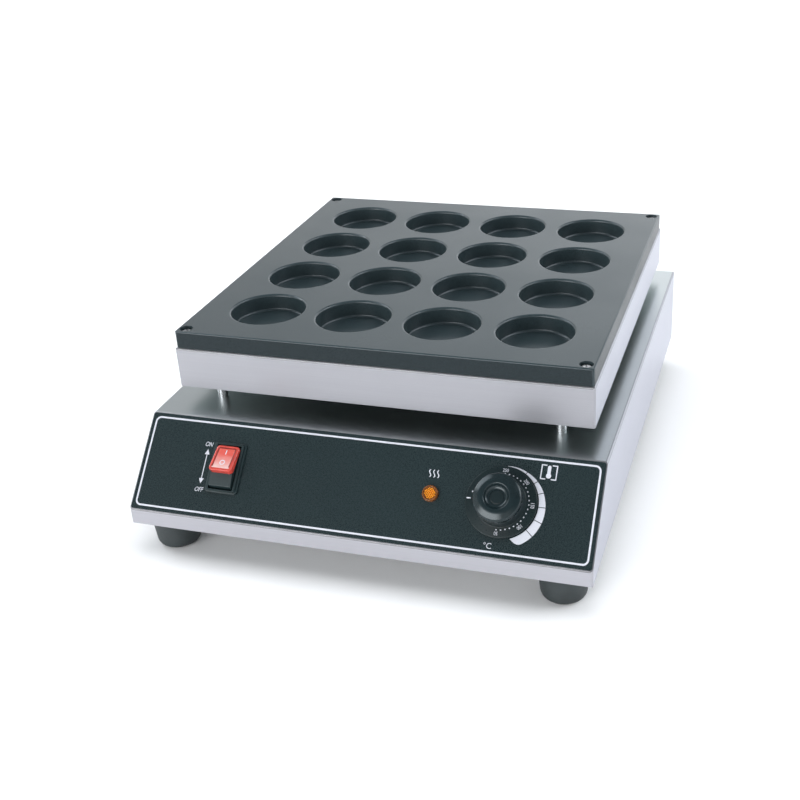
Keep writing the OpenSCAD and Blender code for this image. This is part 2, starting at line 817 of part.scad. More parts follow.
module pin_nuts() {
    color("lightgray") in_box(z_element) for (x = cup_xs, s = [-1, 1])
        translate([x + s * element_gap / 2, element_back + bus_t + (s < 0 ? far_bus : near_bus), 0])
            rotate([-90, 0, 0]) hex_nut(pin_d);
}

// Thermostat sensor under the cups, on two saddles that stand on the clamp bars
module sensor_bulb() {
    color("peru") in_box(bulb_z) translate([bulb_x, bulb_y - bulb_l / 2, 0]) rotate([-90, 0, 0])
        cylinder(d = bulb_d, h = bulb_l);
}

module bulb_saddles() {
    color("gainsboro") in_box(0) for (y = [bar_ys[1], bar_ys[2]]) translate([bulb_x, y, 0]) difference() {
        along_y(saddle_l) translate([-saddle_w / 2, z_bar_top]) square([saddle_w, bulb_z - z_bar_top]);
        translate([0, 0, bulb_z]) rotate([90, 0, 0])
            cylinder(d = bulb_d + 2 * running, h = bar_w, center = true);
    }
}

// Fibre board on the floor of the heater box, under a bright sheet
module board_outline() {
    difference() {
        square([box_w - 2 * (sheet + fit), box_d - 2 * (sheet + fit)], center = true);
        for (p = post_spots) translate(p) circle(d = m5 * nut_ratio * hex_corner + nut_room);
        translate([0, wire_tube_back]) circle(d = tube_nut_flats * hex_corner + nut_room);
    }
}

module insulation_board() {
    color("beige") in_box(z_floor) linear_extrude(z_shield - shield_t - z_floor) board_outline();
}

module heat_shield() {
    color("whitesmoke") in_box(z_shield - shield_t) linear_extrude(shield_t) board_outline();
}

// Threaded tube for the wires, held by one nut in the box and one in the base
module wire_tube() {
    color("silver") in_box(tube_low) translate([0, wire_tube_back, 0]) difference() {
        cylinder(d = wire_tube_d, h = z_floor + tube_nut_h + tube_end - tube_low);
        translate([0, 0, -over]) cylinder(d = wire_tube_d - 2 * wire_tube_wall, h = box_h + base_h);
    }
}

module wire_tube_nuts() {
    color("lightgray") for (z = [z_top - sheet - tube_nut_h, z_floor]) in_box(z)
        translate([0, wire_tube_back, 0])
            ring_nut(wire_tube_d, tube_nut_flats, tube_nut_h);
}

// Black sheet over the whole slope
module panel_sheet() {
    color([0.16, 0.18, 0.19]) difference() {
        on_panel(0, panel_len / 2) linear_extrude(overlay_t)
            rounded(base_w - 2 * overlay_margin, panel_len - 2 * overlay_margin, bend_r);
        switch_cut();
        lamp_cut();
        thermostat_cut();
    }
}

// Switch housing with its flange and collar on the panel and a well for the rocker
module switch_housing() {
    color([0.1, 0.1, 0.11]) on_panel(switch_x, control_v) difference() {
        union() {
            translate([0, 0, -housing_depth]) linear_extrude(housing_depth + overlay_t + frame_t)
                square([housing_w, housing_l], center = true);
            translate([0, 0, overlay_t]) linear_extrude(frame_t) rounded(frame_w, frame_l, frame_r);
            translate([0, 0, overlay_t]) linear_extrude(collar_h) rounded(housing_w, housing_l, collar_r);
        }
        translate([0, 0, -housing_depth / 2]) linear_extrude(housing_depth)
            square([well_w, well_l], center = true);
        rotate([0, 90, 0]) cylinder(d = pivot_d + 2 * running, h = pivot_span, center = true);
    }
}

// Black rocker on two pivot pins; at rest its upper end is pressed in
module rocker() {
    color([0.1, 0.1, 0.11]) on_panel(switch_x, control_v) rotate([-rocker_tilt, 0, 0]) {
        along_x(rocker_w) polygon(outline([
            [-rocker_end, -rocker_side, rocker_edge_r],
            [-rocker_end, rocker_nose, rocker_edge_r],
            [lens_low, lens_base, 0],
            [rocker_end - rocker_draft, lens_base, rocker_heel_r],
            [rocker_end - rocker_draft / 2, -rocker_side, rocker_edge_r],
            [keel_half, -keel_depth, keel_r],
            [-keel_half, -keel_depth, keel_r]], 4));
        rotate([0, 90, 0]) cylinder(d = pivot_d, h = pivot_span - 2 * pivot_play, center = true);
    }
}

// Red translucent lens on the rocker, thicker at its lower end, with a shallow dish in its slanted face
module rocker_lens() {
    high = rocker_end - lens_end_gap;
    lens_l = high - lens_low;
    thick = lens_top - lens_base;
    color([0.85, 0.15, 0.12]) on_panel(switch_x, control_v) rotate([-rocker_tilt, 0, 0])
        translate([0, (high + lens_low) / 2, lens_base]) difference() {
            linear_extrude(2 * thick) rounded(lens_w, lens_l, lens_corner_r);
            translate([0, 0, thick]) rotate([-lens_slant, 0, 0]) {
                translate([-lens_w, -lens_l, 0]) cube([2 * lens_w, 2 * lens_l, cut_through]);
                translate([0, 0, -lens_dish]) linear_extrude(cut_through)
                    rounded(lens_w - 2 * lens_rim, lens_l - 2 * lens_rim, lens_dish_r);
            }
        }
}

module switch_tabs() {
    color("gold") on_panel(switch_x, control_v) for (p = corners(switch_tab_x, switch_tab_v))
        translate([p.x, p.y, -housing_depth - tab_l / 2]) cube([tab_t, tab_w, tab_l], center = true);
}

// Pilot lamp: a domed lens in front of the panel, a body behind it and a clip that holds it
module lamp_lens() {
    color([0.95, 0.5, 0.1]) on_panel(lamp_x, control_v) translate([0, 0, overlay_t]) rotate_extrude()
        polygon(outline([
            [0, 0, 0],
            [lens_d / 2, 0, 0],
            [lens_d / 2, lens_wall_share * lens_h, lens_wall_r],
            [lens_face_share * lens_d / 2, lens_h, lens_face_r],
            [0, lens_h, 0]]));
}

module lamp_body() {
    color("ivory") on_panel(lamp_x, control_v) translate([0, 0, -lamp_body_l])
        cylinder(d = lamp_body_d, h = lamp_body_l + overlay_t);
}

module lamp_clip() {
    color("gray") on_panel(lamp_x, control_v) translate([0, 0, -sheet - clip_t]) difference() {
        cylinder(d = lamp_body_d + 2 * clip_t, h = clip_t);
        translate([0, 0, -over]) cylinder(d = lamp_body_d + 2 * running, h = clip_t + 2 * over);
    }
}

// Knob with a wide skirt for the scale, a hollow grip and a bowl in its rounded top
module knob() {
    base = overlay_t + skirt_gap;
    top = overlay_t + knob_h;
    color([0.09, 0.09, 0.1]) on_panel(knob_x, control_v) difference() {
        rotate_extrude($fn = 96) polygon(outline([
            [0, base, 0],
            [skirt_d / 2, base, 0],
            [skirt_d / 2, base + skirt_edge, skirt_edge_r],
            [grip_d / 2, base + skirt_edge + skirt_rise, 0],
            [grip_top_d / 2, top, grip_shoulder_r],
            [bowl_d / 2, top, bowl_edge_r],
            [cap_d / 2 + bowl_floor, top - bowl_depth, bowl_r],
            [cap_d / 2, top - bowl_depth, 0],
            [cap_d / 2, top - bowl_depth - cap_sink, 0],
            [0, top - bowl_depth - cap_sink, 0]], 8));
        translate([0, 0, base - over]) difference() {
            cylinder(d = knob_hollow_d, h = knob_hollow_h + over);
            cylinder(d = hub_d, h = knob_h);
        }
        translate([0, 0, base - over]) cylinder(d = shaft_d + 2 * running, h = over + shaft_grip + touch);
    }
}

module knob_cap() {
    color([0.13, 0.13, 0.14]) on_panel(knob_x, control_v)
        translate([0, 0, overlay_t + knob_h - bowl_depth - cap_sink])
            cylinder(d = cap_d - 2 * running, h = cap_sink);
}

// Capillary thermostat behind the panel, on two screws whose heads lie inside the knob
module thermostat_body() {
    color("tan") on_panel(knob_x, control_v) difference() {
        translate([0, 0, -sheet - therm_depth]) linear_extrude(therm_depth)
            rounded(therm_w, therm_l, frame_r);
        translate([0, 0, -sheet - shaft_root - touch])
            cylinder(d = shaft_d + 2 * running, h = therm_depth);
        for (s = [-1, 1]) translate([s * therm_screw_gap / 2, 0, -sheet - 2 * m4])
            cylinder(d = m4 + 2 * running, h = therm_depth);
    }
}

module thermostat_shaft() {
    color("lightgray") on_panel(knob_x, control_v) translate([0, 0, -sheet - shaft_root])
        cylinder(d = shaft_d, h = sheet + shaft_root + overlay_t + skirt_gap + shaft_grip);
}

module thermostat_screws() {
    color("lightgray") on_panel(knob_x, control_v) for (s = [-1, 1])
        translate([s * therm_screw_gap / 2, 0, overlay_t]) mirror([0, 0, 1])
            pan_screw(m4, overlay_t + sheet + 2 * m4 - touch);
}

module thermostat_tabs() {
    color("gold") on_panel(knob_x, control_v) for (s = [-1, 1])
        translate([s * therm_tab_x, 0, -sheet - therm_depth - tab_l / 2])
            cube([tab_t, tab_w, tab_l], center = true);
}

// Ceramic terminal block and earth stud on the bottom plate
module terminal_block() {
    color("white") in_base() translate([block_x, base_d - block_back, bottom_t]) difference() {
        translate([-block_w / 2, -block_l / 2, 0]) cube([block_w, block_l, block_h]);
        for (i = [-1, 0, 1]) translate([i * block_pole, 0, block_h - pole_depth])
            cylinder(d = m6, h = pole_depth + over);
    }
}

module terminal_screws() {
    color("gold") in_base() translate([block_x, base_d - block_back, bottom_t + block_h - pole_depth])
        for (i = [-1, 0, 1]) translate([i * block_pole, 0, 0]) difference() {
            cylinder(d = m6 - 2 * running, h = m4);
            translate([-m6, -tab_t / 2, m4 - tab_t]) cube([2 * m6, tab_t, m4]);
        }
}

module earth_stud() {
    color("gold") in_base() translate([block_x - block_w, base_d - block_back, bottom_t]) {
        cylinder(d = m5, h = 4 * m5);
        cylinder(d = 2 * m5, h = washer_t);
    }
}

// Inlet gland in the back wall, its domed nut and the nut inside
module cable_gland() {
    color([0.15, 0.15, 0.16]) at_inlet(0) difference() {
        union() {
            cylinder(d = gland_hex * hex_corner, h = gland_flange_t, $fn = 6);
            translate([0, 0, -gland_in])
                cylinder(d = gland_thread_d, h = gland_in + gland_reach - gland_lip);
        }
        translate([0, 0, -gland_in - over])
            cylinder(d = gland_bore, h = gland_in + gland_reach + 2 * over);
    }
}

module gland_dome() {
    color([0.15, 0.15, 0.16]) at_inlet(gland_flange_t) difference() {
        rotate_extrude() polygon(outline([
            [0, 0, 0],
            [gland_hex / 2, 0, 0],
            [gland_hex / 2, dome_share * gland_dome_l, dome_r],
            [gland_bore / 2 + dome_rim, gland_dome_l, dome_rim_r],
            [0, gland_dome_l, 0]]));
        translate([0, 0, -over]) {
            cylinder(d = gland_thread_d + 2 * running, h = gland_dome_l - gland_lip + over + touch);
            cylinder(d = gland_bore + hole_play, h = gland_dome_l + 2 * over);
        }
    }
}

module gland_nut() {
    color([0.15, 0.15, 0.16]) at_inlet(-sheet - gland_nut_h)
        ring_nut(gland_thread_d, gland_hex, gland_nut_h);
}

// Leads and the sensor's tube, each from one connection to the next
module capillary_tube() {
    from = panel_point(knob_x, control_v + therm_l / 2 + touch, -sheet - therm_depth / 2);
    color("peru") lead([from,
        from + lead_out * [0, cos(panel_slope), sin(panel_slope)],
        [knob_x, bay_y, z_high],
        [0, tube_y - tube_side, z_high],
        [0, tube_y - tube_side, z_under],
        [bulb_x, tube_y - tube_side, z_under],
        [bulb_x, y_mid + bulb_end + lead_out, bulb_z],
        [bulb_x, y_mid + bulb_end + touch, bulb_z]], capillary_d);
}

module supply_lead() {
    from = panel_point(switch_x - switch_tab_x, control_v - switch_tab_v, tab_out);
    color("brown") lead([from,
        from + lead_out * inward,
        [switch_x - switch_tab_x, bay_y, z_low],
        [block_x - block_pole, block_face - block_run, z_low],
        [block_x - block_pole, block_face, z_low]], lead_d);
}

module switch_lead() {
    from = panel_point(switch_x + switch_tab_x, control_v - switch_tab_v, tab_out);
    to = panel_point(knob_x - therm_tab_x, control_v, therm_out);
    color("brown") lead([from,
        from + lead_out * inward,
        [switch_x + 3 * switch_tab_x, cross_y, z_low],
        [knob_x - 2 * therm_tab_x, cross_y, z_low],
        to + lead_out * inward,
        to], lead_d);
}

module heater_lead_live() {
    from = panel_point(knob_x + therm_tab_x, control_v, therm_out);
    color("brown") lead([from,
        from + lead_out * inward,
        [knob_x + therm_tab_x, bay_y, z_middle],
        [-tube_side, tube_y, z_middle],
        [-tube_side, tube_y, z_under],
        [-tube_side, y_mid + element_back - lead_out, z_element - pin_d / 2],
        [-tube_side, y_mid + element_back + far_bus - touch, z_element]], lead_d, tube_bend);
}

module heater_lead_neutral() {
    color("steelblue") lead([[block_x + block_pole, block_face, z_low],
        [block_x + block_pole, block_face - block_run, z_low],
        [tube_side, tube_y, z_low + lead_out],
        [tube_side, tube_y, z_under],
        [tube_side, y_mid + element_back + near_bus - touch, z_element - comb_drop + comb_spine / 2]],
        lead_d, tube_bend);
}

module lamp_leads() {
    color("gray") for (s = [-1, 1]) {
        from = panel_point(lamp_x + s * lamp_lead_gap, control_v, -lamp_body_l - touch);
        lead([from,
            from + lead_out * inward,
            [lamp_x + s * lamp_lead_gap, bay_y, z_lamp + s * lamp_lead_gap],
            [block_x + s * lamp_lead_gap, block_face - 2 * block_run, z_lamp + s * lamp_lead_gap],
            [block_x + s * lamp_lead_gap, block_face - lead_out, z_low],
            [block_x + s * lamp_lead_gap, block_face, z_low]], lamp_lead_d);
    }
}

base_shell();
bottom_plate();
bottom_screws();
feet();
foot_washers();
foot_screws();
foot_nuts();
posts();
post_bolts();
post_nuts();
heater_box();
cup_plate();
plate_screws();
plate_nuts();
heating_tube(1);  // heating_tube_1
heating_tube(2);  // heating_tube_2
heating_tube(3);  // heating_tube_3
heating_tube(4);  // heating_tube_4
clamp_bar(bar_ys[0]);  // clamp_bar_front
clamp_bar(bar_ys[1]);  // clamp_bar_middle
clamp_bar(bar_ys[2]);  // clamp_bar_rear
clamp_studs();
clamp_nuts();
bus_bar_live();
bus_bar_neutral();
pin_nuts();
sensor_bulb();
bulb_saddles();
capillary_tube();
insulation_board();
heat_shield();
wire_tube();
wire_tube_nuts();
panel_sheet();
switch_housing();
rocker();
rocker_lens();
switch_tabs();
lamp_lens();
lamp_body();
lamp_clip();
knob();
knob_cap();
thermostat_body();
thermostat_shaft();
thermostat_screws();
thermostat_tabs();
terminal_block();
terminal_screws();
earth_stud();
cable_gland();
gland_dome();
gland_nut();
supply_lead();
switch_lead();
heater_lead_live();
heater_lead_neutral();
lamp_leads();
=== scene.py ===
"""Looks of a countertop cup griddle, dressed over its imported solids."""

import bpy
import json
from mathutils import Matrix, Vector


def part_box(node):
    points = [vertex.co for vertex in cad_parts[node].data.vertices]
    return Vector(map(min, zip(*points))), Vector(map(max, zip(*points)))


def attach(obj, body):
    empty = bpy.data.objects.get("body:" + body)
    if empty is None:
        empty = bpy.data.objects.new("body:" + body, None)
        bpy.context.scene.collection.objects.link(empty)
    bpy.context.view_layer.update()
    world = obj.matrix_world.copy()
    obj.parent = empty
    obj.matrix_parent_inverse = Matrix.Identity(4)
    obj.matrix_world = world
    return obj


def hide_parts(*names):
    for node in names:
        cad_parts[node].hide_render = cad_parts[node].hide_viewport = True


bl_info = {
    "name": "Cup griddle looks",
    "version": (1, 0, 0),
    "blender": (4, 5, 0),
    "location": "View3D > Sidebar > Griddle",
    "description": "Dresses the packed cup griddle: steel, coated plate, printed panel, knob and switch",
    "category": "Object",
}

import json
import math

import bmesh
import bpy
from bpy.props import FloatProperty, FloatVectorProperty, IntProperty, PointerProperty
from mathutils import Matrix, Vector

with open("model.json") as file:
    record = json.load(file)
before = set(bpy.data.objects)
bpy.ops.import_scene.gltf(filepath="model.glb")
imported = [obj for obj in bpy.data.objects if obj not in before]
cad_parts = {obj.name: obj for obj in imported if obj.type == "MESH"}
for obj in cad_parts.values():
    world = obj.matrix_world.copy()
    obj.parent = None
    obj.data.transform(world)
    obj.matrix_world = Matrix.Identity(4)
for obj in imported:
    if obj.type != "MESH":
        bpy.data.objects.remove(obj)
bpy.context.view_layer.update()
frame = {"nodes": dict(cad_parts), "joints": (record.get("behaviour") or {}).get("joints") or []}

MM = 0.001
JOINTS = {joint["name"]: joint for joint in frame["joints"]}

# Mesh making: steps of a round piece, sides of a dot, angles in degrees over which an edge is sharp and
# under which it is flat, gap of doubled corners, radius of a pole, least corner radius, and height of a
# capital at size 1
ROUND_STEPS = 64
DISC_SIDES = 16
SHARP = 32.0
FLAT = 0.3
DOUBLED = 1e-6
POLE = 1e-7
LEAST_ROUND = 1e-5
CAPITAL = 0.7

# Radii of a lens facet's top and foot as shares of its cell, and streaks of brushed steel in a metre
FACET_TOP = 0.3
FACET_FOOT = 0.6
STREAKS_ALONG = 6
STREAKS_ACROSS = 2400

# The picture's side, centre and focal length in pixels, and the camera that was fitted to points in it;
# the eye is measured from the middle of the base's lower front edge
PICTURE_SIDE = 800
PICTURE_CENTRE = (445.0, 370.0)
PICTURE_FOCAL = 1194.1
SENSOR = 36.0
CAMERA_RIGHT = (0.955833, 0.290339, -0.045683)
CAMERA_DOWN = (0.089710, -0.436215, -0.895359)
CAMERA_EYE = (332.95 * MM, -739.97 * MM, 560.31 * MM)
CLIP = (0.02, 50)

# The room's shades by height, in front and behind
ROOM_FRONT = ((0.38, (1, 1, 1, 1)), (0.50, (0.42, 0.44, 0.46, 1)), (0.75, (0.26, 0.28, 0.30, 1)))
ROOM_BEHIND = ((0.48, (1.9, 1.95, 2.0, 1)), (0.62, (0.6, 0.62, 0.64, 1)), (0.80, (0.26, 0.28, 0.30, 1)))

# Places in the room: direction, cosines at which each begins and is full, and gain. The room is dimmer
# where its dim side and its dim height meet, and has three soft boxes
BEHIND = ((0.6, 0.8, 0), 0.35, 0.75, 1.0)
DIM_SIDE = ((0.85, -0.53, 0), 0.35, 0.8, 0.5)
DIM_ABOVE = ((0, 0, 1), 0.30, 0.42, 1.0)
SOFT_BOXES = (((-0.40, -0.91, 0.12), 0.87, 0.96, 6.0),
              ((-0.74, 0.22, 0.64), 0.93, 0.98, 10.0),
              ((0.68, 0.18, 0.71), 0.92, 0.98, 7.0))

# One wide light, almost overhead
OVERHEAD_AIM = (0.0, -0.08, -1.0)
OVERHEAD_ANGLE = math.radians(50)
OVERHEAD_ENERGY = 1.1

# The floor's half side and its two shades
FLOOR_HALF = 6.0
FLOOR_SHADES = ((0.93, 0.93, 0.935), (0.96, 0.96, 0.965))


# Values that a user may change

def length(name, text, value):
    """A length in metres for a property group."""
    return FloatProperty(name=name, description=text, default=value, unit="LENGTH", precision=5)


def slant(name, text, degrees):
    """An angle for a property group."""
    return FloatProperty(name=name, description=text, default=math.radians(degrees), subtype="ANGLE")


def colour(name, text, value):
    """A linear colour for a property group."""
    return FloatVectorProperty(name=name, description=text, default=value, size=3, subtype="COLOR",
                               min=0, max=1)


class GriddlePanel(bpy.types.PropertyGroup):
    """Sizes of the control panel and its print."""

    slope: slant("Slope", "Slope of the panel", 45)
    lip: length("Lip", "Height of the steel lip below the panel", 14 * MM)
    sheet: length("Sheet", "Thickness of the panel sheet", 0.8 * MM)
    ink: length("Ink", "Height of the print above the sheet", 0.05 * MM)
    border_inset: length("Border inset", "From the edge of the sheet to the border line", 3.0 * MM)
    border_line: length("Border line", "Width of the border line", 1.5 * MM)
    border_radius: length("Border radius", "Outer radius of the border line's corners", 5 * MM)
    word_height: length("Word height", "Height of the words beside the switch", 3.9 * MM)
    degree_height: length("Degree height", "Height of the degree sign", 4.6 * MM)
    lamp_x: length("Lamp place", "Right of the middle of the panel", 62 * MM)


class GriddleKnob(bpy.types.PropertyGroup):
    """Sizes of the knob and the scale on its skirt."""

    skirt: length("Skirt radius", "Radius of the skirt", 29 * MM)
    foot: length("Foot", "Bevel under the skirt's edge", 0.4 * MM)
    rim: length("Rim", "Height of the skirt at its edge", 1.8 * MM)
    rise: length("Rise", "From the skirt's edge up to the foot of the grip", 1.4 * MM)
    grip: length("Grip radius", "Radius of the grip at the skirt", 20.25 * MM)
    shoulder: length("Shoulder radius", "Radius of the grip at its top", 19.75 * MM)
    shoulder_drop: length("Shoulder drop", "From the crest of the top down to the shoulder", 2.8 * MM)
    shoulder_round: length("Shoulder rounding", "Rounding of the grip's shoulder", 3.0 * MM)
    crest: length("Crest radius", "Radius at which the top begins to slope down", 13.6 * MM)
    crest_round: length("Crest rounding", "Rounding of the top's crest", 10 * MM)
    bowl: length("Bowl radius", "Radius of the bowl in the top", 10.5 * MM)
    bowl_depth: length("Bowl depth", "Depth of the bowl in the top", 3.6 * MM)
    gap: length("Gap", "Between the panel sheet and the skirt", 1.2 * MM)
    height: length("Height", "Top of the knob above the panel sheet", 23 * MM)
    cap: length("Cap radius", "Radius of the plain cap", 5.7 * MM)
    cap_sink: length("Cap sink", "How deep the cap sits in the bowl's floor", 1.3 * MM)
    number_ring: length("Number ring", "Radius at which the numbers stand", 25.4 * MM)
    number_height: length("Number height", "Height of a figure", 2.9 * MM)
    dot_ring: length("Dot ring", "Radius at which the dots stand", 22.6 * MM)
    dot: length("Dot", "Radius of a dot", 0.6 * MM)
    dot_count: IntProperty(name="Dots", description="Dots from first to last number", default=21, min=2)
    first: IntProperty(name="First number", description="Number at the start of the scale", default=50)
    step: IntProperty(name="Step", description="From one number to the next", default=50)
    numbers: IntProperty(name="Numbers", description="How many numbers the scale has", default=5, min=2)


class GriddleSwitch(bpy.types.PropertyGroup):
    """Sizes of the rocker switch."""

    frame_w: length("Frame width", "Width of the frame on the panel", 30 * MM)
    frame_l: length("Frame length", "Length of the frame on the panel", 44 * MM)
    flange: length("Flange", "Thickness of the flange", 2 * MM)
    collar: length("Collar", "Height of the collar", 3.7 * MM)
    collar_side: length("Collar side", "Thickness of the collar at its sides", 2.4 * MM)
    collar_end: length("Collar end", "Thickness of the collar at its ends", 1.2 * MM)
    well_w: length("Well width", "Width of the opening", 22 * MM)
    well_l: length("Well length", "Length of the opening", 38.6 * MM)
    well_depth: length("Well depth", "Depth of the opening below the steel", 11 * MM)
    body_depth: length("Body depth", "Depth of the housing below the steel", 22 * MM)
    tilt: slant("Tilt", "Tilt of the rocker at rest", -12)
    side_gap: length("Side gap", "Between the rocker and the well's sides", 0.8 * MM)
    end_gap: length("End gap", "Between the rocker and the well's ends", 1.3 * MM)
    cap_w: length("Cap width", "Width of the red cap", 21 * MM)
    cap_low: length("Cap start", "Lower end of the cap, up from the pivot", -7.7 * MM)
    cap_high: length("Cap end", "Upper end of the cap, up from the pivot", 17 * MM)
    cap_base: length("Cap base", "Underside of the cap above the pivot", 7 * MM)
    cap_top: length("Cap top", "Middle of the cap's face above the pivot", 11 * MM)
    cap_corner: length("Cap corner", "Radius of the cap's corners", 3 * MM)
    cap_round: length("Cap rounding", "Rounding of the cap's upper edge", 1.2 * MM)
    cap_rim: length("Cap rim", "Width of the rim round the cap's groove", 2.2 * MM)
    cap_slant: slant("Cap slant", "Slant of the cap's face", 7)


class GriddleLamp(bpy.types.PropertyGroup):
    """Sizes of the pilot lamp's lens."""

    radius: length("Radius", "Radius of the lens at the panel", 6.75 * MM)
    side: length("Side", "Height of the lens's upright side", 2.2 * MM)
    ring: length("Ring radius", "Outer radius of the ring round the facets", 6.2 * MM)
    height: length("Height", "Top of the ring above the panel sheet", 3.4 * MM)
    ring_in: length("Ring bore", "Inner radius of the ring at its top", 5.3 * MM)
    floor: length("Floor radius", "Radius of the floor between the facets", 5.2 * MM)
    floor_z: length("Floor height", "Floor between the facets above the panel sheet", 2.5 * MM)
    grid: length("Grid", "Side of the square grid of facets", 10 * MM)
    rows: IntProperty(name="Rows", description="Facets along a side of the grid", default=8, min=2)
    circle: length("Circle", "Circle inside which facets are kept", 4.8 * MM)
    facet: length("Facet", "Height of a facet", 0.8 * MM)
    turn: slant("Turn", "Turn of the grid in the lens", 40)


class GriddleFinish(bpy.types.PropertyGroup):
    """Colours of the griddle's finishes, in linear values."""

    # The eight steel colours from here to soft_bend are one brushed steel in lit and shaded copies, one for
    # each way a face looks: the sides paler and bluer as painted light, the level faces in between, and the
    # fronts, the box front, the undersides and the bends darker as painted shade
    steel: colour("Steel", "Brushed stainless steel of the sides", (0.525, 0.535, 0.595))
    front: colour("Base front", "Brushed steel of the base's front and back", (0.44, 0.436, 0.468))
    box_front: colour("Box front", "Brushed steel of the heater box's front and back", (0.37, 0.37, 0.396))
    top: colour("Top", "Brushed steel of the level faces", (0.455, 0.487, 0.497))
    # Painted shade on the faces that look down
    underside: colour("Underside", "Dull steel of the faces that look down", (0.33, 0.42, 0.41))
    # Painted shade on the side bends, so that they show no bright line
    bend: colour("Side bend", "Steel where the sides bend over", (0.34, 0.35, 0.38))
    # Paler than the fronts: a painted highlight along the brow
    brow: colour("Brow", "Steel where the slope bends into the top", (0.48, 0.48, 0.49))
    # Darkest copy: painted shade on the bends of the upright fronts, so that they show no highlight
    soft_bend: colour("Soft bend", "Steel where an upright front bends back", (0.17, 0.172, 0.182))
    bright: colour("Bright parts", "Turned and plated steel", (0.66, 0.665, 0.68))
    zinc: colour("Zinc", "Zinc-coated sheet", (0.42, 0.43, 0.44))
    coat: colour("Coat", "Dark coat of the cup plate", (0.021, 0.033, 0.037))
    panel: colour("Panel", "Panel sheet", (0.009, 0.0185, 0.0205))
    ink: colour("Ink", "Pale print", (0.56, 0.575, 0.635))
    plastic: colour("Plastic", "Black moulded plastic", (0.007, 0.0135, 0.0155))
    rubber: colour("Rubber", "Rubber of the feet", (0.024, 0.032, 0.034))
    red: colour("Red", "Red cap of the switch", (0.62, 0.07, 0.052))
    window_high: colour("Window, upper end", "Upper end of the cap's window", (0.66, 0.10, 0.075))
    # Painted highlight: the pale lower end of the cap's window
    window_painted_highlight: colour("Window, lower end", "Paler lower end of the cap's window", (0.74, 0.52, 0.49))
    orange: colour("Orange", "Lens of the lamp", (0.70, 0.27, 0.022))
    rim: colour("Rim", "Rim of the lamp's lens", (0.17, 0.055, 0.01))


# Geometry helpers

def rounded_loop(w, l, r, z, steps=8, middle=0.0):
    """A rectangle with rounded corners, counter-clockwise, at height z."""
    r = max(r, LEAST_ROUND)
    points = []
    for turn, (sx, sy) in enumerate(((1, 1), (-1, 1), (-1, -1), (1, -1))):
        for i in range(steps + 1):
            angle = math.radians(90 * turn + 90 * i / steps)
            points.append(Vector((sx * (w / 2 - r) + r * math.cos(angle),
                                  middle + sy * (l / 2 - r) + r * math.sin(angle), z)))
    return points


def round_loop(r, z, steps, middle=0.0):
    """A circle, counter-clockwise, at height z."""
    angles = [2 * math.pi * i / steps for i in range(steps)]
    return [Vector((r * math.cos(angle), middle + r * math.sin(angle), z)) for angle in angles]


def polar(r, degrees):
    """A flat vector from a radius and an angle."""
    angle = math.radians(degrees)
    return Vector((r * math.cos(angle), r * math.sin(angle), 0))


def round_corners(points, steps):
    """An open profile from (r, z, radius) points, with each inner corner rounded."""
    made = [Vector(points[0][:2])]
    for before, corner, after in zip(points, points[1:], points[2:]):
        b = Vector(corner[:2])
        if corner[2] == 0:
            made.append(b)
            continue
        u = (Vector(before[:2]) - b).normalized()
        w = (Vector(after[:2]) - b).normalized()
        half = u.angle(w) / 2
        middle = b + (u + w).normalized() * corner[2] / math.sin(half)
        start = b + u * corner[2] / math.tan(half) - middle
        end = b + w * corner[2] / math.tan(half) - middle
        sweep = start.angle_signed(end)
        for i in range(steps + 1):
            turned = start.copy()
            turned.rotate(Matrix.Rotation(-sweep * i / steps, 2))
            made.append(middle + turned)
    made.append(Vector(points[-1][:2]))
    return made


def loft(bm, loops, closed=False, cap_first=False, cap_last=False):
    """Quads between loops of equal length."""
    rings = [[bm.verts.new(p) for p in loop] for loop in loops]
    pairs = list(zip(rings, rings[1:]))
    if closed:
        pairs.append((rings[-1], rings[0]))
    for low, high in pairs:
        count = len(low)
        for i in range(count):
            j = (i + 1) % count
            bm.faces.new((low[i], low[j], high[j], high[i]))
    if cap_first:
        bm.faces.new(list(reversed(rings[0])))
    if cap_last:
        bm.faces.new(rings[-1])


def lathe(bm, profile, steps):
    """Turns a profile of (r, z) points about Z. Points on the axis become poles."""
    rings = []
    for r, z in profile:
        loop = [(0, 0, z)] if r < POLE else round_loop(r, z, steps)
        rings.append([bm.verts.new(p) for p in loop])
    for low, high in zip(rings, rings[1:]):
        for i in range(steps):
            j = (i + 1) % steps
            corners = [low[i % len(low)], low[j % len(low)], high[j % len(high)], high[i % len(high)]]
            kept = [v for k, v in enumerate(corners) if v not in corners[:k]]
            if len(kept) > 2:
                bm.faces.new(kept)


def flat_ring(bm, outer, inner, lift):
    """A thin raised band between two loops of equal length."""
    up = Vector((0, 0, lift))
    loft(bm, [inner, [p + up for p in inner], [p + up for p in outer], outer], closed=True)


def flat_patch(bm, points, lift):
    """A thin raised patch from the outline of a polygon."""
    up = Vector((0, 0, lift))
    loft(bm, [points, [p + up for p in points]], cap_first=True, cap_last=True)


def sector(middle, r_in, r_out, start, end, steps):
    """Outline of a band of a ring; its outer radius is a pair, for the start and the end."""
    outer, inner = [], []
    for i in range(steps + 1):
        t = i / steps
        turn = start + (end - start) * t
        outer.append(middle + polar(r_out[0] + (r_out[1] - r_out[0]) * t, turn))
        inner.append(middle + polar(r_in, turn))
    return outer + inner[::-1]


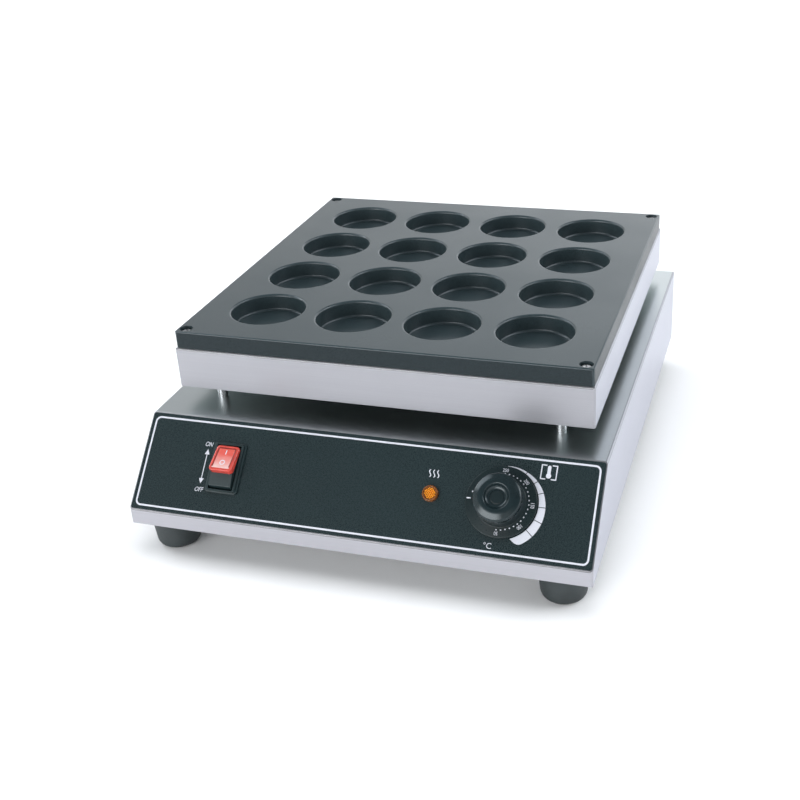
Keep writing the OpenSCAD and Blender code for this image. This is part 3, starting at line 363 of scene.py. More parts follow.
def word_mesh(text, height, lift):
    """A word as a thin mesh about the origin, with capitals of the given height."""
    curve = bpy.data.curves.new("word", "FONT")
    curve.body = text
    curve.align_x = "CENTER"
    curve.align_y = "CENTER"
    curve.size = height / CAPITAL
    curve.extrude = lift / 2
    curve.resolution_u = 4
    holder = bpy.data.objects.new("word", curve)
    bpy.context.scene.collection.objects.link(holder)
    mesh = evaluated_mesh(holder)
    bpy.data.objects.remove(holder)
    bpy.data.curves.remove(curve)
    return mesh


def evaluated_mesh(obj):
    """The object's mesh with its modifiers applied."""
    graph = bpy.context.evaluated_depsgraph_get()
    shaped = obj.evaluated_get(graph)
    return bpy.data.meshes.new_from_object(shaped, preserve_all_data_layers=True, depsgraph=graph)


def add_mesh(bm, mesh, matrix):
    """Adds a mesh, moved by a matrix, to a bmesh, and forgets it."""
    mesh.transform(matrix)
    bm.from_mesh(mesh)
    bpy.data.meshes.remove(mesh)


def plain_mesh(bm, name):
    """A mesh from a bmesh, which is freed."""
    mesh = bpy.data.meshes.new(name)
    bm.to_mesh(mesh)
    bm.free()
    return mesh


def to_mesh(bm, name, matrix=None, sharp=SHARP, turn_out=True):
    """A finished mesh, smooth but for its sharp edges, with its normals turned outwards if asked."""
    if turn_out:
        bmesh.ops.recalc_face_normals(bm, faces=bm.faces)
    if matrix is not None:
        bmesh.ops.transform(bm, matrix=matrix, verts=bm.verts)
    return weigh_normals(plain_mesh(bm, name), sharp)


def weigh_normals(mesh, sharp):
    """Smooth shading that keeps flat faces flat."""
    mesh.shade_smooth()
    mesh.set_sharp_from_angle(angle=math.radians(sharp))
    holder = bpy.data.objects.new(mesh.name, mesh)
    bpy.context.scene.collection.objects.link(holder)
    weighing = holder.modifiers.new("weighing", "WEIGHTED_NORMAL")
    weighing.keep_sharp = True
    weighing.weight = 50
    made = evaluated_mesh(holder)
    made.name = mesh.name
    bpy.data.objects.remove(holder)
    bpy.data.meshes.remove(mesh)
    return made


def node_bmesh(node):
    """A bmesh of a solid with its doubled corners merged."""
    bm = bmesh.new()
    bm.from_mesh(frame["nodes"][node].data)
    bmesh.ops.remove_doubles(bm, verts=bm.verts, dist=DOUBLED)
    return bm


def node_copy(node, sharp=SHARP):
    """A merged, smooth copy of a solid's mesh."""
    bm = node_bmesh(node)
    bmesh.ops.dissolve_limit(bm, angle_limit=math.radians(FLAT), verts=bm.verts, edges=bm.edges)
    return to_mesh(bm, node, sharp=sharp, turn_out=False)


def place(name, mesh, body, materials, replaces=()):
    """Puts a finished mesh into the scene on a body, in place of the solids it stands for."""
    mesh.name = name
    for material in materials:
        mesh.materials.append(material)
    obj = bpy.data.objects.new(name, mesh)
    bpy.context.scene.collection.objects.link(obj)
    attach(obj, body)
    if replaces:
        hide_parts(*replaces)


def dress(nodes, material):
    """Gives a finish to solids that show as they are."""
    for node in nodes:
        mesh = frame["nodes"][node].data
        mesh.materials.clear()
        mesh.materials.append(material)


def panel_matrix(x=0.0, v=0.0, n=0.0):
    """From the control panel's own axes, v up the slope and n out of it, to the part's frame."""
    panel = bpy.context.scene.griddle_panel
    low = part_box("base_shell")[0]
    return (Matrix.Translation((0, low.y, low.z + panel.lip)) @ Matrix.Rotation(panel.slope, 4, "X")
            @ Matrix.Translation((x, v, n)))


def joint_matrix(name):
    """The panel's axes at a joint, with the origin on the steel of the slope."""
    panel = bpy.context.scene.griddle_panel
    return Matrix.Translation(JOINTS[name]["pos_m"]) @ Matrix.Rotation(panel.slope, 4, "X")


def reach(matrix, axis, low, high):
    """A direction of a matrix, and two distances along it from the matrix's origin."""
    direction = matrix.col[axis].to_3d().normalized()
    start = direction.dot(matrix.translation)
    return direction, start + low, start + high


def on_panel(name):
    """Place of a joint on the panel, as x and v."""
    point = panel_matrix().inverted() @ Vector(JOINTS[name]["pos_m"])
    return point.x, point.y


# Finishes

class Finish:
    """A material and the node tree that paints it."""

    def __init__(self, name):
        self.material = bpy.data.materials.new(name)
        self.material.use_nodes = True
        self.tree = self.material.node_tree
        self.shader = self.tree.nodes["Principled BSDF"]
        self.coords = self.node("ShaderNodeTexCoord")

    def node(self, kind, **values):
        """A new node with the given settings."""
        made = self.tree.nodes.new(kind)
        for key, value in values.items():
            setattr(made, key, value)
        return made

    def link(self, output, target):
        """Joins two sockets."""
        self.tree.links.new(output, target)

    def mapped(self, scale):
        """Object coordinates, scaled along each axis."""
        mapping = self.node("ShaderNodeMapping")
        mapping.inputs["Scale"].default_value = scale
        self.link(self.coords.outputs["Object"], mapping.inputs["Vector"])
        return mapping.outputs["Vector"]

    def noise(self, scale, detail, roughness=0.5, stretch=None):
        """Noise over the object, stretched if asked."""
        texture = self.node("ShaderNodeTexNoise")
        texture.inputs["Scale"].default_value = scale
        texture.inputs["Detail"].default_value = detail
        texture.inputs["Roughness"].default_value = roughness
        source = self.mapped(stretch) if stretch else self.coords.outputs["Object"]
        self.link(source, texture.inputs["Vector"])
        return texture.outputs["Fac"]

    def along(self, direction, low, high):
        """0 to 1 between two distances along a direction."""
        distance = self.node("ShaderNodeVectorMath", operation="DOT_PRODUCT")
        distance.inputs[1].default_value = direction
        self.link(self.coords.outputs["Object"], distance.inputs[0])
        return self.span(distance.outputs["Value"], 0.0, 1.0, low, high)

    def span(self, value, low, high, from_low=0.3, from_high=0.7):
        """A value moved from one range into another."""
        ranged = self.node("ShaderNodeMapRange")
        ranged.inputs["From Min"].default_value = from_low
        ranged.inputs["From Max"].default_value = from_high
        ranged.inputs["To Min"].default_value = low
        ranged.inputs["To Max"].default_value = high
        self.link(value, ranged.inputs["Value"])
        return ranged.outputs["Result"]

    def sum(self, first, second):
        """Two values added."""
        adding = self.node("ShaderNodeMath", operation="ADD")
        self.link(first, adding.inputs[0])
        self.link(second, adding.inputs[1])
        return adding.outputs["Value"]

    def shades(self, value, dark, pale, from_low=0.3, from_high=0.7):
        """The finish's colour, from one shade to another."""
        ramp = self.node("ShaderNodeValToRGB")
        ramp.color_ramp.elements[0].position = from_low
        ramp.color_ramp.elements[0].color = (*dark, 1)
        ramp.color_ramp.elements[1].position = from_high
        ramp.color_ramp.elements[1].color = (*pale, 1)
        self.link(value, ramp.inputs["Fac"])
        self.link(ramp.outputs["Color"], self.shader.inputs["Base Color"])

    def roughness(self, value):
        """The finish's roughness from a value."""
        self.link(value, self.shader.inputs["Roughness"])

    def bump(self, value, strength, distance):
        """Fine relief from a value."""
        bump = self.node("ShaderNodeBump")
        bump.inputs["Strength"].default_value = strength
        bump.inputs["Distance"].default_value = distance
        self.link(value, bump.inputs["Height"])
        self.link(bump.outputs["Normal"], self.shader.inputs["Normal"])

    def constant(self, **values):
        """Constant values on the shader's own sockets."""
        for key, value in values.items():
            self.shader.inputs[key.replace("_", " ")].default_value = value


def tone(key):
    """A colour of the finish group."""
    return tuple(getattr(bpy.context.scene.griddle_finish, key))


def tinted(rgb, factor):
    """A colour made darker or paler."""
    return tuple(min(1.0, c * factor) for c in rgb)


def steel_finish(name, rgb, along, rough=(0.38, 0.44)):
    """Brushed sheet: fine streaks along one axis and a faint cloudiness."""
    finish = Finish(name)
    stretch = [STREAKS_ACROSS] * 3
    stretch["XYZ".index(along)] = STREAKS_ALONG
    streaks = finish.noise(1.0, 3.0, 0.55, stretch)
    clouds = finish.noise(9.0, 3.0)
    finish.shades(streaks, tinted(rgb, 0.95), tinted(rgb, 1.04), 0.25, 0.75)
    finish.roughness(finish.sum(finish.span(streaks, rough[0], rough[1]), finish.span(clouds, -0.02, 0.02)))
    finish.bump(streaks, 0.03, 0.00002)
    finish.constant(Metallic=1.0)
    return finish.material


def part_finish(name, rgb, rough=0.26):
    """Turned or plated metal with faint mottling."""
    finish = Finish(name)
    grain = finish.noise(700.0, 3.0)
    clouds = finish.noise(60.0, 2.0)
    finish.shades(clouds, tinted(rgb, 0.88), tinted(rgb, 1.06))
    finish.roughness(finish.span(grain, rough - 0.06, rough + 0.08))
    finish.bump(grain, 0.08, 0.00005)
    finish.constant(Metallic=1.0)
    return finish.material


def coat_finish(name, rgb, gloss=0.5):
    """Dark non-stick coat: a fine pebbled film with paler specks."""
    finish = Finish(name)
    pebbles = finish.noise(1500.0, 4.0, 0.6)
    clouds = finish.noise(14.0, 3.0)
    finish.shades(pebbles, tinted(rgb, 0.6), tinted(rgb, 1.7), 0.32, 0.72)
    finish.roughness(finish.sum(finish.span(pebbles, 0.28, 0.36), finish.span(clouds, -0.03, 0.03)))
    finish.bump(pebbles, 0.22, 0.0001)
    finish.constant(IOR=1.5, Specular_IOR_Level=gloss, Specular_Tint=(0.90, 0.94, 1.0, 1.0))
    return finish.material


def sheet_finish(name, rgb):
    """Satin printed sheet with a fine dust-like grain."""
    finish = Finish(name)
    grain = finish.noise(1800.0, 3.0, 0.6)
    clouds = finish.noise(11.0, 3.0)
    finish.shades(finish.sum(finish.span(grain, 0.0, 0.6), finish.span(clouds, 0.0, 0.4)),
                  tinted(rgb, 0.88), tinted(rgb, 1.14), 0.2, 0.8)
    finish.roughness(finish.span(grain, 0.24, 0.32))
    finish.bump(grain, 0.08, 0.00005)
    return finish.material


def moulded_finish(name, rgb, rough=(0.2, 0.3), grain_scale=900.0, bump=0.06, gloss=0.5):
    """Moulded plastic or rubber with a faint grain."""
    finish = Finish(name)
    grain = finish.noise(grain_scale, 3.0, 0.55)
    clouds = finish.noise(40.0, 2.0)
    finish.shades(clouds, tinted(rgb, 0.8), tinted(rgb, 1.25))
    finish.roughness(finish.span(grain, rough[0], rough[1]))
    finish.bump(grain, bump, 0.00008)
    finish.constant(Specular_IOR_Level=gloss)
    return finish.material


def polished_finish(name, rgb, span):
    """Moulded plastic, satin at its foot and polished above."""
    finish = Finish(name)
    finish.shades(finish.noise(40.0, 2.0), tinted(rgb, 0.8), tinted(rgb, 1.25))
    grain = finish.span(finish.noise(900.0, 3.0, 0.55), -0.015, 0.015)
    finish.roughness(finish.sum(finish.span(finish.along(*span), 0.45, 0.16, 0.0, 1.0), grain))
    finish.constant(Specular_IOR_Level=0.45, Specular_Tint=(0.88, 0.96, 1.0, 1.0))
    return finish.material


def ink_finish(name, rgb):
    """Pale screen print, a little uneven."""
    finish = Finish(name)
    grain = finish.noise(2200.0, 2.0)
    finish.shades(grain, tinted(rgb, 0.9), tinted(rgb, 1.06))
    finish.roughness(finish.span(grain, 0.45, 0.6))
    return finish.material


def lens_finish(name, rgb, glow, through=0.25):
    """Tinted translucent plastic with a little light behind it."""
    finish = Finish(name)
    clouds = finish.noise(160.0, 2.0)
    finish.shades(clouds, tinted(rgb, 0.82), tinted(rgb, 1.15))
    finish.roughness(finish.span(finish.noise(600.0, 2.0), 0.12, 0.22))
    finish.constant(Transmission_Weight=through, IOR=1.49, Emission_Color=(*rgb, 1), Emission_Strength=glow)
    return finish.material


def cap_finish(name, rgb, span):
    """Red translucent plastic with a painted highlight that pales it towards its lower end."""
    finish = Finish(name)
    clouds = finish.noise(160.0, 2.0)
    # Blend from the painted highlight at the lower end to the red above
    highlight_blend = finish.sum(finish.along(*span), finish.span(clouds, -0.06, 0.06))
    finish.shades(highlight_blend, tone("window_painted_highlight"), tone("window_high"), 0.10, 0.66)
    finish.roughness(finish.span(finish.noise(600.0, 2.0), 0.14, 0.22))
    finish.constant(Transmission_Weight=0.2, IOR=1.49, Emission_Color=(*rgb, 1), Emission_Strength=0.08)
    return finish.material


def finish_named(name, maker, *values, **options):
    """A finish that is made once and used again."""
    return bpy.data.materials.get(name) or maker(name, *values, **options)


def bright_part():
    """Turned or plated steel."""
    return finish_named("bright_part", part_finish, tone("bright"))


def zinc_sheet():
    """Zinc-coated sheet."""
    return finish_named("zinc_sheet", part_finish, tone("zinc"), 0.42)


def ink():
    """Pale print."""
    return finish_named("pale_ink", ink_finish, tone("ink"))


def black_plastic():
    """Black moulded plastic."""
    return finish_named("black_plastic", moulded_finish, tone("plastic"), rough=(0.3, 0.4), gloss=0.25)


def satin_plastic():
    """Satin black plastic, a little paler than the panel sheet."""
    return finish_named("satin_plastic", moulded_finish, tinted(tone("panel"), 1.1),
                        rough=(0.4, 0.5), gloss=0.35)


# Geometry node trees

def tree_with(name, inputs):
    """A geometry tree with named number inputs; returns it with its input and output nodes."""
    tree = bpy.data.node_groups.new(name, "GeometryNodeTree")
    for label, kind in inputs:
        tree.interface.new_socket(label, in_out="INPUT", socket_type=kind)
    tree.interface.new_socket("Geometry", in_out="OUTPUT", socket_type="NodeSocketGeometry")
    return tree, tree.nodes.new("NodeGroupInput"), tree.nodes.new("NodeGroupOutput")


def grow(name, tree, values):
    """Runs a geometry tree with the given input values and returns its mesh."""
    holder = bpy.data.objects.new(name, bpy.data.meshes.new(name))
    bpy.context.scene.collection.objects.link(holder)
    modifier = holder.modifiers.new("tree", "NODES")
    modifier.node_group = tree
    for item in tree.interface.items_tree:
        if item.in_out == "INPUT":
            modifier[item.identifier] = values[item.name]
    mesh = evaluated_mesh(holder)
    mesh.name = name
    for face in mesh.polygons:
        face.material_index = 0
    holder.modifiers.clear()
    spare = holder.data
    bpy.data.objects.remove(holder)
    bpy.data.meshes.remove(spare)
    return mesh


def math_node(tree, operation, first, second):
    """A math node; each side is a socket or a number."""
    node = tree.nodes.new("ShaderNodeMath")
    node.operation = operation
    for slot, value in enumerate((first, second)):
        if isinstance(value, (int, float)):
            node.inputs[slot].default_value = value
        else:
            tree.links.new(value, node.inputs[slot])
    return node.outputs["Value"]


def vector_node(tree, x=None, y=None, z=None):
    """A vector from sockets; a side without one is 0."""
    node = tree.nodes.new("ShaderNodeCombineXYZ")
    for slot, value in enumerate((x, y, z)):
        if value is not None:
            tree.links.new(value, node.inputs[slot])
    return node.outputs["Vector"]


def close_tree(tree, instances, output, material):
    """Realizes instances, sets their material and ends the tree."""
    real = tree.nodes.new("GeometryNodeRealizeInstances")
    paint = tree.nodes.new("GeometryNodeSetMaterial")
    paint.inputs["Material"].default_value = material
    tree.links.new(instances, real.inputs["Geometry"])
    tree.links.new(real.outputs["Geometry"], paint.inputs["Geometry"])
    tree.links.new(paint.outputs["Geometry"], output.inputs["Geometry"])


def ring_tree(name, material, shape):
    """Copies of a small shape at equal angles on part of a circle, each turned with the circle."""
    tree, given, output = tree_with(name, [("Count", "NodeSocketInt"), ("Ring radius", "NodeSocketFloat"),
                                           ("Start", "NodeSocketFloat"), ("Step", "NodeSocketFloat"),
                                           ("Width", "NodeSocketFloat"), ("Height", "NodeSocketFloat")])
    index = tree.nodes.new("GeometryNodeInputIndex").outputs["Index"]
    turned = math_node(tree, "MULTIPLY", index, given.outputs["Step"])
    angle = math_node(tree, "ADD", given.outputs["Start"], turned)
    radius = given.outputs["Ring radius"]
    spot = vector_node(tree, math_node(tree, "MULTIPLY", math_node(tree, "COSINE", angle, 0.0), radius),
                       math_node(tree, "MULTIPLY", math_node(tree, "SINE", angle, 0.0), radius))
    points = tree.nodes.new("GeometryNodePoints")
    tree.links.new(given.outputs["Count"], points.inputs["Count"])
    tree.links.new(spot, points.inputs["Position"])
    copies = tree.nodes.new("GeometryNodeInstanceOnPoints")
    tree.links.new(points.outputs["Points"], copies.inputs["Points"])
    tree.links.new(shape(tree, given), copies.inputs["Instance"])
    tree.links.new(vector_node(tree, z=angle), copies.inputs["Rotation"])
    close_tree(tree, copies.outputs["Instances"], output, material)
    return tree


def disc_shape(tree, given):
    """A small flat disc."""
    disc = tree.nodes.new("GeometryNodeMeshCylinder")
    disc.inputs["Vertices"].default_value = DISC_SIDES
    tree.links.new(given.outputs["Width"], disc.inputs["Radius"])
    tree.links.new(given.outputs["Height"], disc.inputs["Depth"])
    return disc.outputs["Mesh"]


def rib_shape(tree, given):
    """A small upright rib."""
    block = tree.nodes.new("GeometryNodeMeshCube")
    width = given.outputs["Width"]
    tree.links.new(vector_node(tree, width, width, given.outputs["Height"]), block.inputs["Size"])
    return block.outputs["Mesh"]


def facet_tree(name, material):
    """A square grid of small blunt pyramids with gaps between them, kept inside a circle."""
    tree, given, output = tree_with(name, [("Side", "NodeSocketFloat"), ("Rows", "NodeSocketInt"),
                                           ("Circle", "NodeSocketFloat"), ("Height", "NodeSocketFloat")])
    grid = tree.nodes.new("GeometryNodeMeshGrid")
    for key in ("Size X", "Size Y"):
        tree.links.new(given.outputs["Side"], grid.inputs[key])
    for key in ("Vertices X", "Vertices Y"):
        tree.links.new(given.outputs["Rows"], grid.inputs[key])
    position = tree.nodes.new("GeometryNodeInputPosition")
    distance = tree.nodes.new("ShaderNodeVectorMath")
    distance.operation = "LENGTH"
    tree.links.new(position.outputs["Position"], distance.inputs[0])
    outside = math_node(tree, "GREATER_THAN", distance.outputs["Value"], given.outputs["Circle"])
    kept = tree.nodes.new("GeometryNodeDeleteGeometry")
    tree.links.new(grid.outputs["Mesh"], kept.inputs["Geometry"])
    tree.links.new(outside, kept.inputs["Selection"])
    gaps = math_node(tree, "SUBTRACT", given.outputs["Rows"], 1.0)
    cell = math_node(tree, "DIVIDE", given.outputs["Side"], gaps)
    pyramid = tree.nodes.new("GeometryNodeMeshCone")
    pyramid.inputs["Vertices"].default_value = 4
    tree.links.new(math_node(tree, "MULTIPLY", cell, FACET_TOP), pyramid.inputs["Radius Top"])
    tree.links.new(math_node(tree, "MULTIPLY", cell, FACET_FOOT), pyramid.inputs["Radius Bottom"])
    tree.links.new(given.outputs["Height"], pyramid.inputs["Depth"])
    copies = tree.nodes.new("GeometryNodeInstanceOnPoints")
    copies.inputs["Rotation"].default_value = (0, 0, math.radians(45))
    tree.links.new(kept.outputs["Geometry"], copies.inputs["Points"])
    tree.links.new(pyramid.outputs["Mesh"], copies.inputs["Instance"])
    close_tree(tree, copies.outputs["Instances"], output, material)
    return tree


# Operators, one for each piece or group of like pieces

class GRIDDLE_OT_sheet_steel(bpy.types.Operator):
    """Dress the folded steel of the base and the heater box"""

    bl_idname = "griddle.sheet_steel"
    bl_label = "Sheet steel"

    TOP_ROUGH = (0.29, 0.34)
    FRONT_ROUGH = (0.34, 0.40)
    BEND_ROUGH = (0.46, 0.52)
    DULL = 0.4
    # Parts of a face's normal: looking down, square to an axis, tilted, and either side of the slope's own
    DOWN = -0.7
    SQUARE = 0.999
    TILTED = 0.05
    SLOPE_LOW = 0.69
    SLOPE_HIGH = 0.72
    # Places in a shell's list of finishes; each is a lit or shaded copy of the same steel, painted light or
    # painted shade by the way a face looks
    AHEAD, SIDE, TOP, UNDERSIDE, SIDE_BEND, BROW, SOFT_BEND = range(7)

    def execute(self, context):
        # Sides, brow, fronts, undersides and bends get lit and shaded copies of the one steel: painted light
        # and painted shade
        shared = [
            finish_named("brushed_steel_y", steel_finish, tone("steel"), "Y"),
            finish_named("brushed_steel_top", steel_finish, tone("top"), "X", rough=self.TOP_ROUGH),
            finish_named("dull_steel", part_finish, tone("underside"), self.DULL),
            finish_named("steel_bend", steel_finish, tone("bend"), "X", rough=self.BEND_ROUGH),
            finish_named("steel_brow", steel_finish, tone("brow"), "X", rough=self.FRONT_ROUGH),
            finish_named("steel_soft_bend", part_finish, tone("soft_bend"), self.DULL),
        ]
        for node, name, finish, key in (("base_shell", "steel_base", "brushed_steel_front", "front"),
                                        ("heater_box", "steel_heater_box", "brushed_steel_box", "box_front")):
            ahead = finish_named(finish, steel_finish, tone(key), "X", rough=self.FRONT_ROUGH)
            mesh = node_copy(node, sharp=12)
            place(name, mesh, "machine", [ahead, *shared], [node])
            for face in mesh.polygons:
                face.material_index = self.finish_of(face.normal)
        dress(["bottom_plate"], zinc_sheet())
        return {"FINISHED"}

    def finish_of(self, normal):
        """Place of the finish that a face takes, from the way it faces, and with it the face's painted light
        or shade.
        """
        up, aside = normal.z, abs(normal.x)
        if up < self.DOWN:
            return self.UNDERSIDE
        if up > self.SQUARE:
            return self.TOP
        if aside > self.SQUARE:
            return self.SIDE
        if min(up, aside) > self.TILTED:
            return self.SIDE_BEND
        if up > self.SLOPE_HIGH:
            return self.BROW
        if self.TILTED < up < self.SLOPE_LOW:
            return self.SOFT_BEND
        return self.AHEAD


class GRIDDLE_OT_cup_plate(bpy.types.Operator):
    """Dress the cast plate with its cups, and its screws"""

    bl_idname = "griddle.cup_plate"
    bl_label = "Cup plate"

    # The plate's outer upright faces take a darker, less glossy copy of the coat: painted shade
    EDGE_SHADE = 0.55
    EDGE_GLOSS = 0.25
    EDGE_SKIN = 0.2 * MM
    UPRIGHT = 0.3

    def execute(self, context):
        coat = finish_named("dark_coat", coat_finish, tone("coat"))
        tint = tinted(tone("coat"), self.EDGE_SHADE)
        edge = finish_named("dark_coat_edge", coat_finish, tint, gloss=self.EDGE_GLOSS)
        mesh = node_copy("cup_plate", sharp=35)
        low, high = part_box("cup_plate")
        # Upright faces at the plate's front and sides get the painted shade
        for face in mesh.polygons:
            x, y = face.center.x, face.center.y
            outer = min(abs(y - low.y), abs(x - high.x), abs(x - low.x))
            upright = abs(face.normal.z) < self.UPRIGHT
            face.material_index = 1 if outer < self.EDGE_SKIN and upright else 0
        place("coated_cup_plate", mesh, "machine", [coat, edge], ["cup_plate"])
        screws = node_copy("plate_screws")
        place("plate_screw_set", screws, "machine", [bright_part()], ["plate_screws"])
        return {"FINISHED"}


class GRIDDLE_OT_posts_and_feet(bpy.types.Operator):
    """Dress the posts, the rubber feet and the screws that hold them"""

    bl_idname = "griddle.posts_and_feet"
    bl_label = "Posts and feet"

    def execute(self, context):
        rubber = finish_named("foot_rubber", moulded_finish, tone("rubber"),
                              rough=(0.5, 0.66), grain_scale=1400.0, bump=0.16)
        place("rubber_feet", node_copy("feet"), "machine", [rubber], ["feet"])
        place("steel_posts", node_copy("posts"), "machine", [bright_part()], ["posts"])
        dress(["foot_washers", "foot_screws", "foot_nuts", "bottom_screws", "post_bolts", "post_nuts"],
              bright_part())
        return {"FINISHED"}


class GRIDDLE_OT_panel_sheet(bpy.types.Operator):
    """Make the panel sheet and its pale print"""

    bl_idname = "griddle.panel_sheet"
    bl_label = "Panel sheet and print"

    # Words and a double arrow at the left of the switch, from the rocker's pivot
    WORDS = (("ON", 18.8 * MM), ("OFF", -20.8 * MM))
    WORD_SIDE = 20.7 * MM
    WORD_LEAN = 0.18
    WORD_NARROW = 0.8
    ARROW_TIPS = ((1, 14.6 * MM), (-1, -15.6 * MM))
    ARROW_LENGTH = 4.6 * MM
    ARROW_HALF = 2.2 * MM
    SHAFT_W, SHAFT_L, SHAFT_ROUND = 0.75 * MM, 22 * MM, 0.1 * MM
    SHAFT_DROP = 0.5 * MM
    # Waves above the lamp
    WAVE_RISE = 13.6 * MM
    WAVE_PITCH = 3.4 * MM
    WAVE_SWING = 0.75 * MM
    WAVE_HALF = 0.42 * MM
    WAVE_HEIGHT = 6.4 * MM
    WAVE_STEPS = 16
    # Band round the knob: edges of its fields in degrees, and the outer radius at each edge but the last
    BAND_EDGES = (89, 58, 38, 20, 0, -20.5, -40, -68.5)
    BAND_OUTER = (30.1 * MM, 31.5 * MM, 33.0 * MM, 34.2 * MM, 35.3 * MM, 36.3 * MM, 36.9 * MM)
    BAND_INNER = 29.75 * MM
    BAND_GAP = 0.55
    BAND_STEPS = 12
    # Where the last field begins to round off, as a share of it, and how fast
    END_FROM = 0.55
    END_POWER = 2.2
    # Thermometer sign between its brackets, and the degree sign, from the knob's axis
    SIGN_PLACE = (33.9 * MM, 28.7 * MM, 0)
    DEGREE_PLACE = (-6 * MM, -35.6 * MM, 0)
    BRACKET_W, BRACKET_H = 13.2 * MM, 12.2 * MM
    BRACKET_LINE, BRACKET_ARM = 0.9 * MM, 4.4 * MM
    STEM, STEM_TOP, STEM_STEPS = 1.35 * MM, Vector((0, 4.2 * MM, 0)), 8
    BULB, BULB_MIDDLE, BULB_STEPS = 2.1 * MM, Vector((0, -2.9 * MM, 0)), 16
    BULB_START, BULB_SWEEP = 130, 280

    def execute(self, context):
        panel = context.scene.griddle_panel
        film = finish_named("panel_film", sheet_finish, tone("panel"))
        place("panel_film_sheet", node_copy("panel_sheet"), "machine", [film], ["panel_sheet"])

        bm = bmesh.new()
        self.border(bm, panel)
        self.switch_print(bm, panel)
        self.lamp_print(bm, panel)
        self.dial_print(bm, panel)
        mesh = to_mesh(bm, "panel_print", panel_matrix(n=panel.sheet))
        place("panel_print", mesh, "machine", [ink()])
        return {"FINISHED"}

    def border(self, bm, panel):
        """A thin line inside the edge of the sheet."""
        low, high = self.sheet_span()
        middle = (low.y + high.y) / 2
        w, l = high.x - low.x - 2 * panel.border_inset, high.y - low.y - 2 * panel.border_inset
        line, r = panel.border_line, panel.border_radius
        outer = rounded_loop(w, l, r, 0, middle=middle)
        inner = rounded_loop(w - 2 * line, l - 2 * line, r - line, 0, middle=middle)
        flat_ring(bm, outer, inner, panel.ink)

    def sheet_span(self):
        """Lowest and highest corner of the sheet in the panel's own axes."""
        back = panel_matrix().inverted()
        points = [back @ v.co for v in frame["nodes"]["panel_sheet"].data.vertices]
        return (Vector([min(p[k] for p in points) for k in range(3)]),
                Vector([max(p[k] for p in points) for k in range(3)]))

    def switch_print(self, bm, panel):
        """ON, OFF and a double arrow at the left of the switch."""
        lift = panel.ink
        x, v = on_panel("rocker_pivot")
        x -= self.WORD_SIDE
        lean = Matrix.Identity(4)
        lean[0][1] = self.WORD_LEAN
        lean = lean @ Matrix.Diagonal((self.WORD_NARROW, 1, 1, 1))
        for text, rise in self.WORDS:
            word = word_mesh(text, panel.word_height, lift)
            add_mesh(bm, word, Matrix.Translation((x, v + rise, lift / 2)) @ lean)
        for sign, rise in self.ARROW_TIPS:
            tip = v + rise
            base = tip - sign * self.ARROW_LENGTH
            corners = ((x - self.ARROW_HALF, base, 0), (x + self.ARROW_HALF, base, 0), (x, tip, 0))
            flat_patch(bm, [Vector(corner) for corner in corners[::sign]], lift)
        shaft = rounded_loop(self.SHAFT_W, self.SHAFT_L, self.SHAFT_ROUND, 0, 2, v - self.SHAFT_DROP)
        flat_patch(bm, [p + Vector((x, 0, 0)) for p in shaft], lift)

    def lamp_print(self, bm, panel):
        """Three rising waves above the lamp, the plain sign for heat."""
        v = on_panel("dial_turn")[1] + self.WAVE_RISE
        half = Vector((self.WAVE_HALF, 0, 0))
        for k in (-1, 0, 1):
            wave = []
            for i in range(self.WAVE_STEPS + 1):
                t = i / self.WAVE_STEPS
                x = panel.lamp_x + k * self.WAVE_PITCH + self.WAVE_SWING * math.sin(2 * math.pi * t)
                wave.append(Vector((x, v + t * self.WAVE_HEIGHT, 0)))
            flat_patch(bm, [p + half for p in wave] + [p - half for p in reversed(wave)], panel.ink)

    def dial_print(self, bm, panel):
        """A swelling band of seven fields right of the knob, a thermometer sign and a degree sign."""
        lift = panel.ink
        middle = Vector((*on_panel("dial_turn"), 0))
        start = self.BAND_EDGES[0]
        for edge, r_out in zip(self.BAND_EDGES[1:], zip(self.BAND_OUTER, self.BAND_OUTER[1:])):
            outline = sector(middle, self.BAND_INNER, r_out, start, edge + self.BAND_GAP, self.BAND_STEPS)
            flat_patch(bm, outline[::-1], lift)
            start = edge - self.BAND_GAP
        self.rounded_end(bm, middle, start, lift)
        self.thermometer(bm, middle + Vector(self.SIGN_PLACE), lift)
        degree = word_mesh("°C", panel.degree_height, lift)
        spot = middle + Vector(self.DEGREE_PLACE) + Vector((0, 0, lift / 2))
        add_mesh(bm, degree, Matrix.Translation(spot))

    def rounded_end(self, bm, middle, start, lift):
        """The last field of the band, with its far corner rounded off."""
        r_in, r_out, steps = self.BAND_INNER, self.BAND_OUTER[-1], self.BAND_STEPS
        sweep = self.BAND_EDGES[-1] - start
        points = []
        for i in range(steps + 1):
            t = i / steps
            fall = max(0.0, t - self.END_FROM) / (1 - self.END_FROM)
            points.append(middle + polar(r_out - (r_out - r_in) * fall ** self.END_POWER, start + sweep * t))
        for i in range(steps - 1, -1, -1):
            points.append(middle + polar(r_in, start + sweep * i / steps))
        flat_patch(bm, points[::-1], lift)

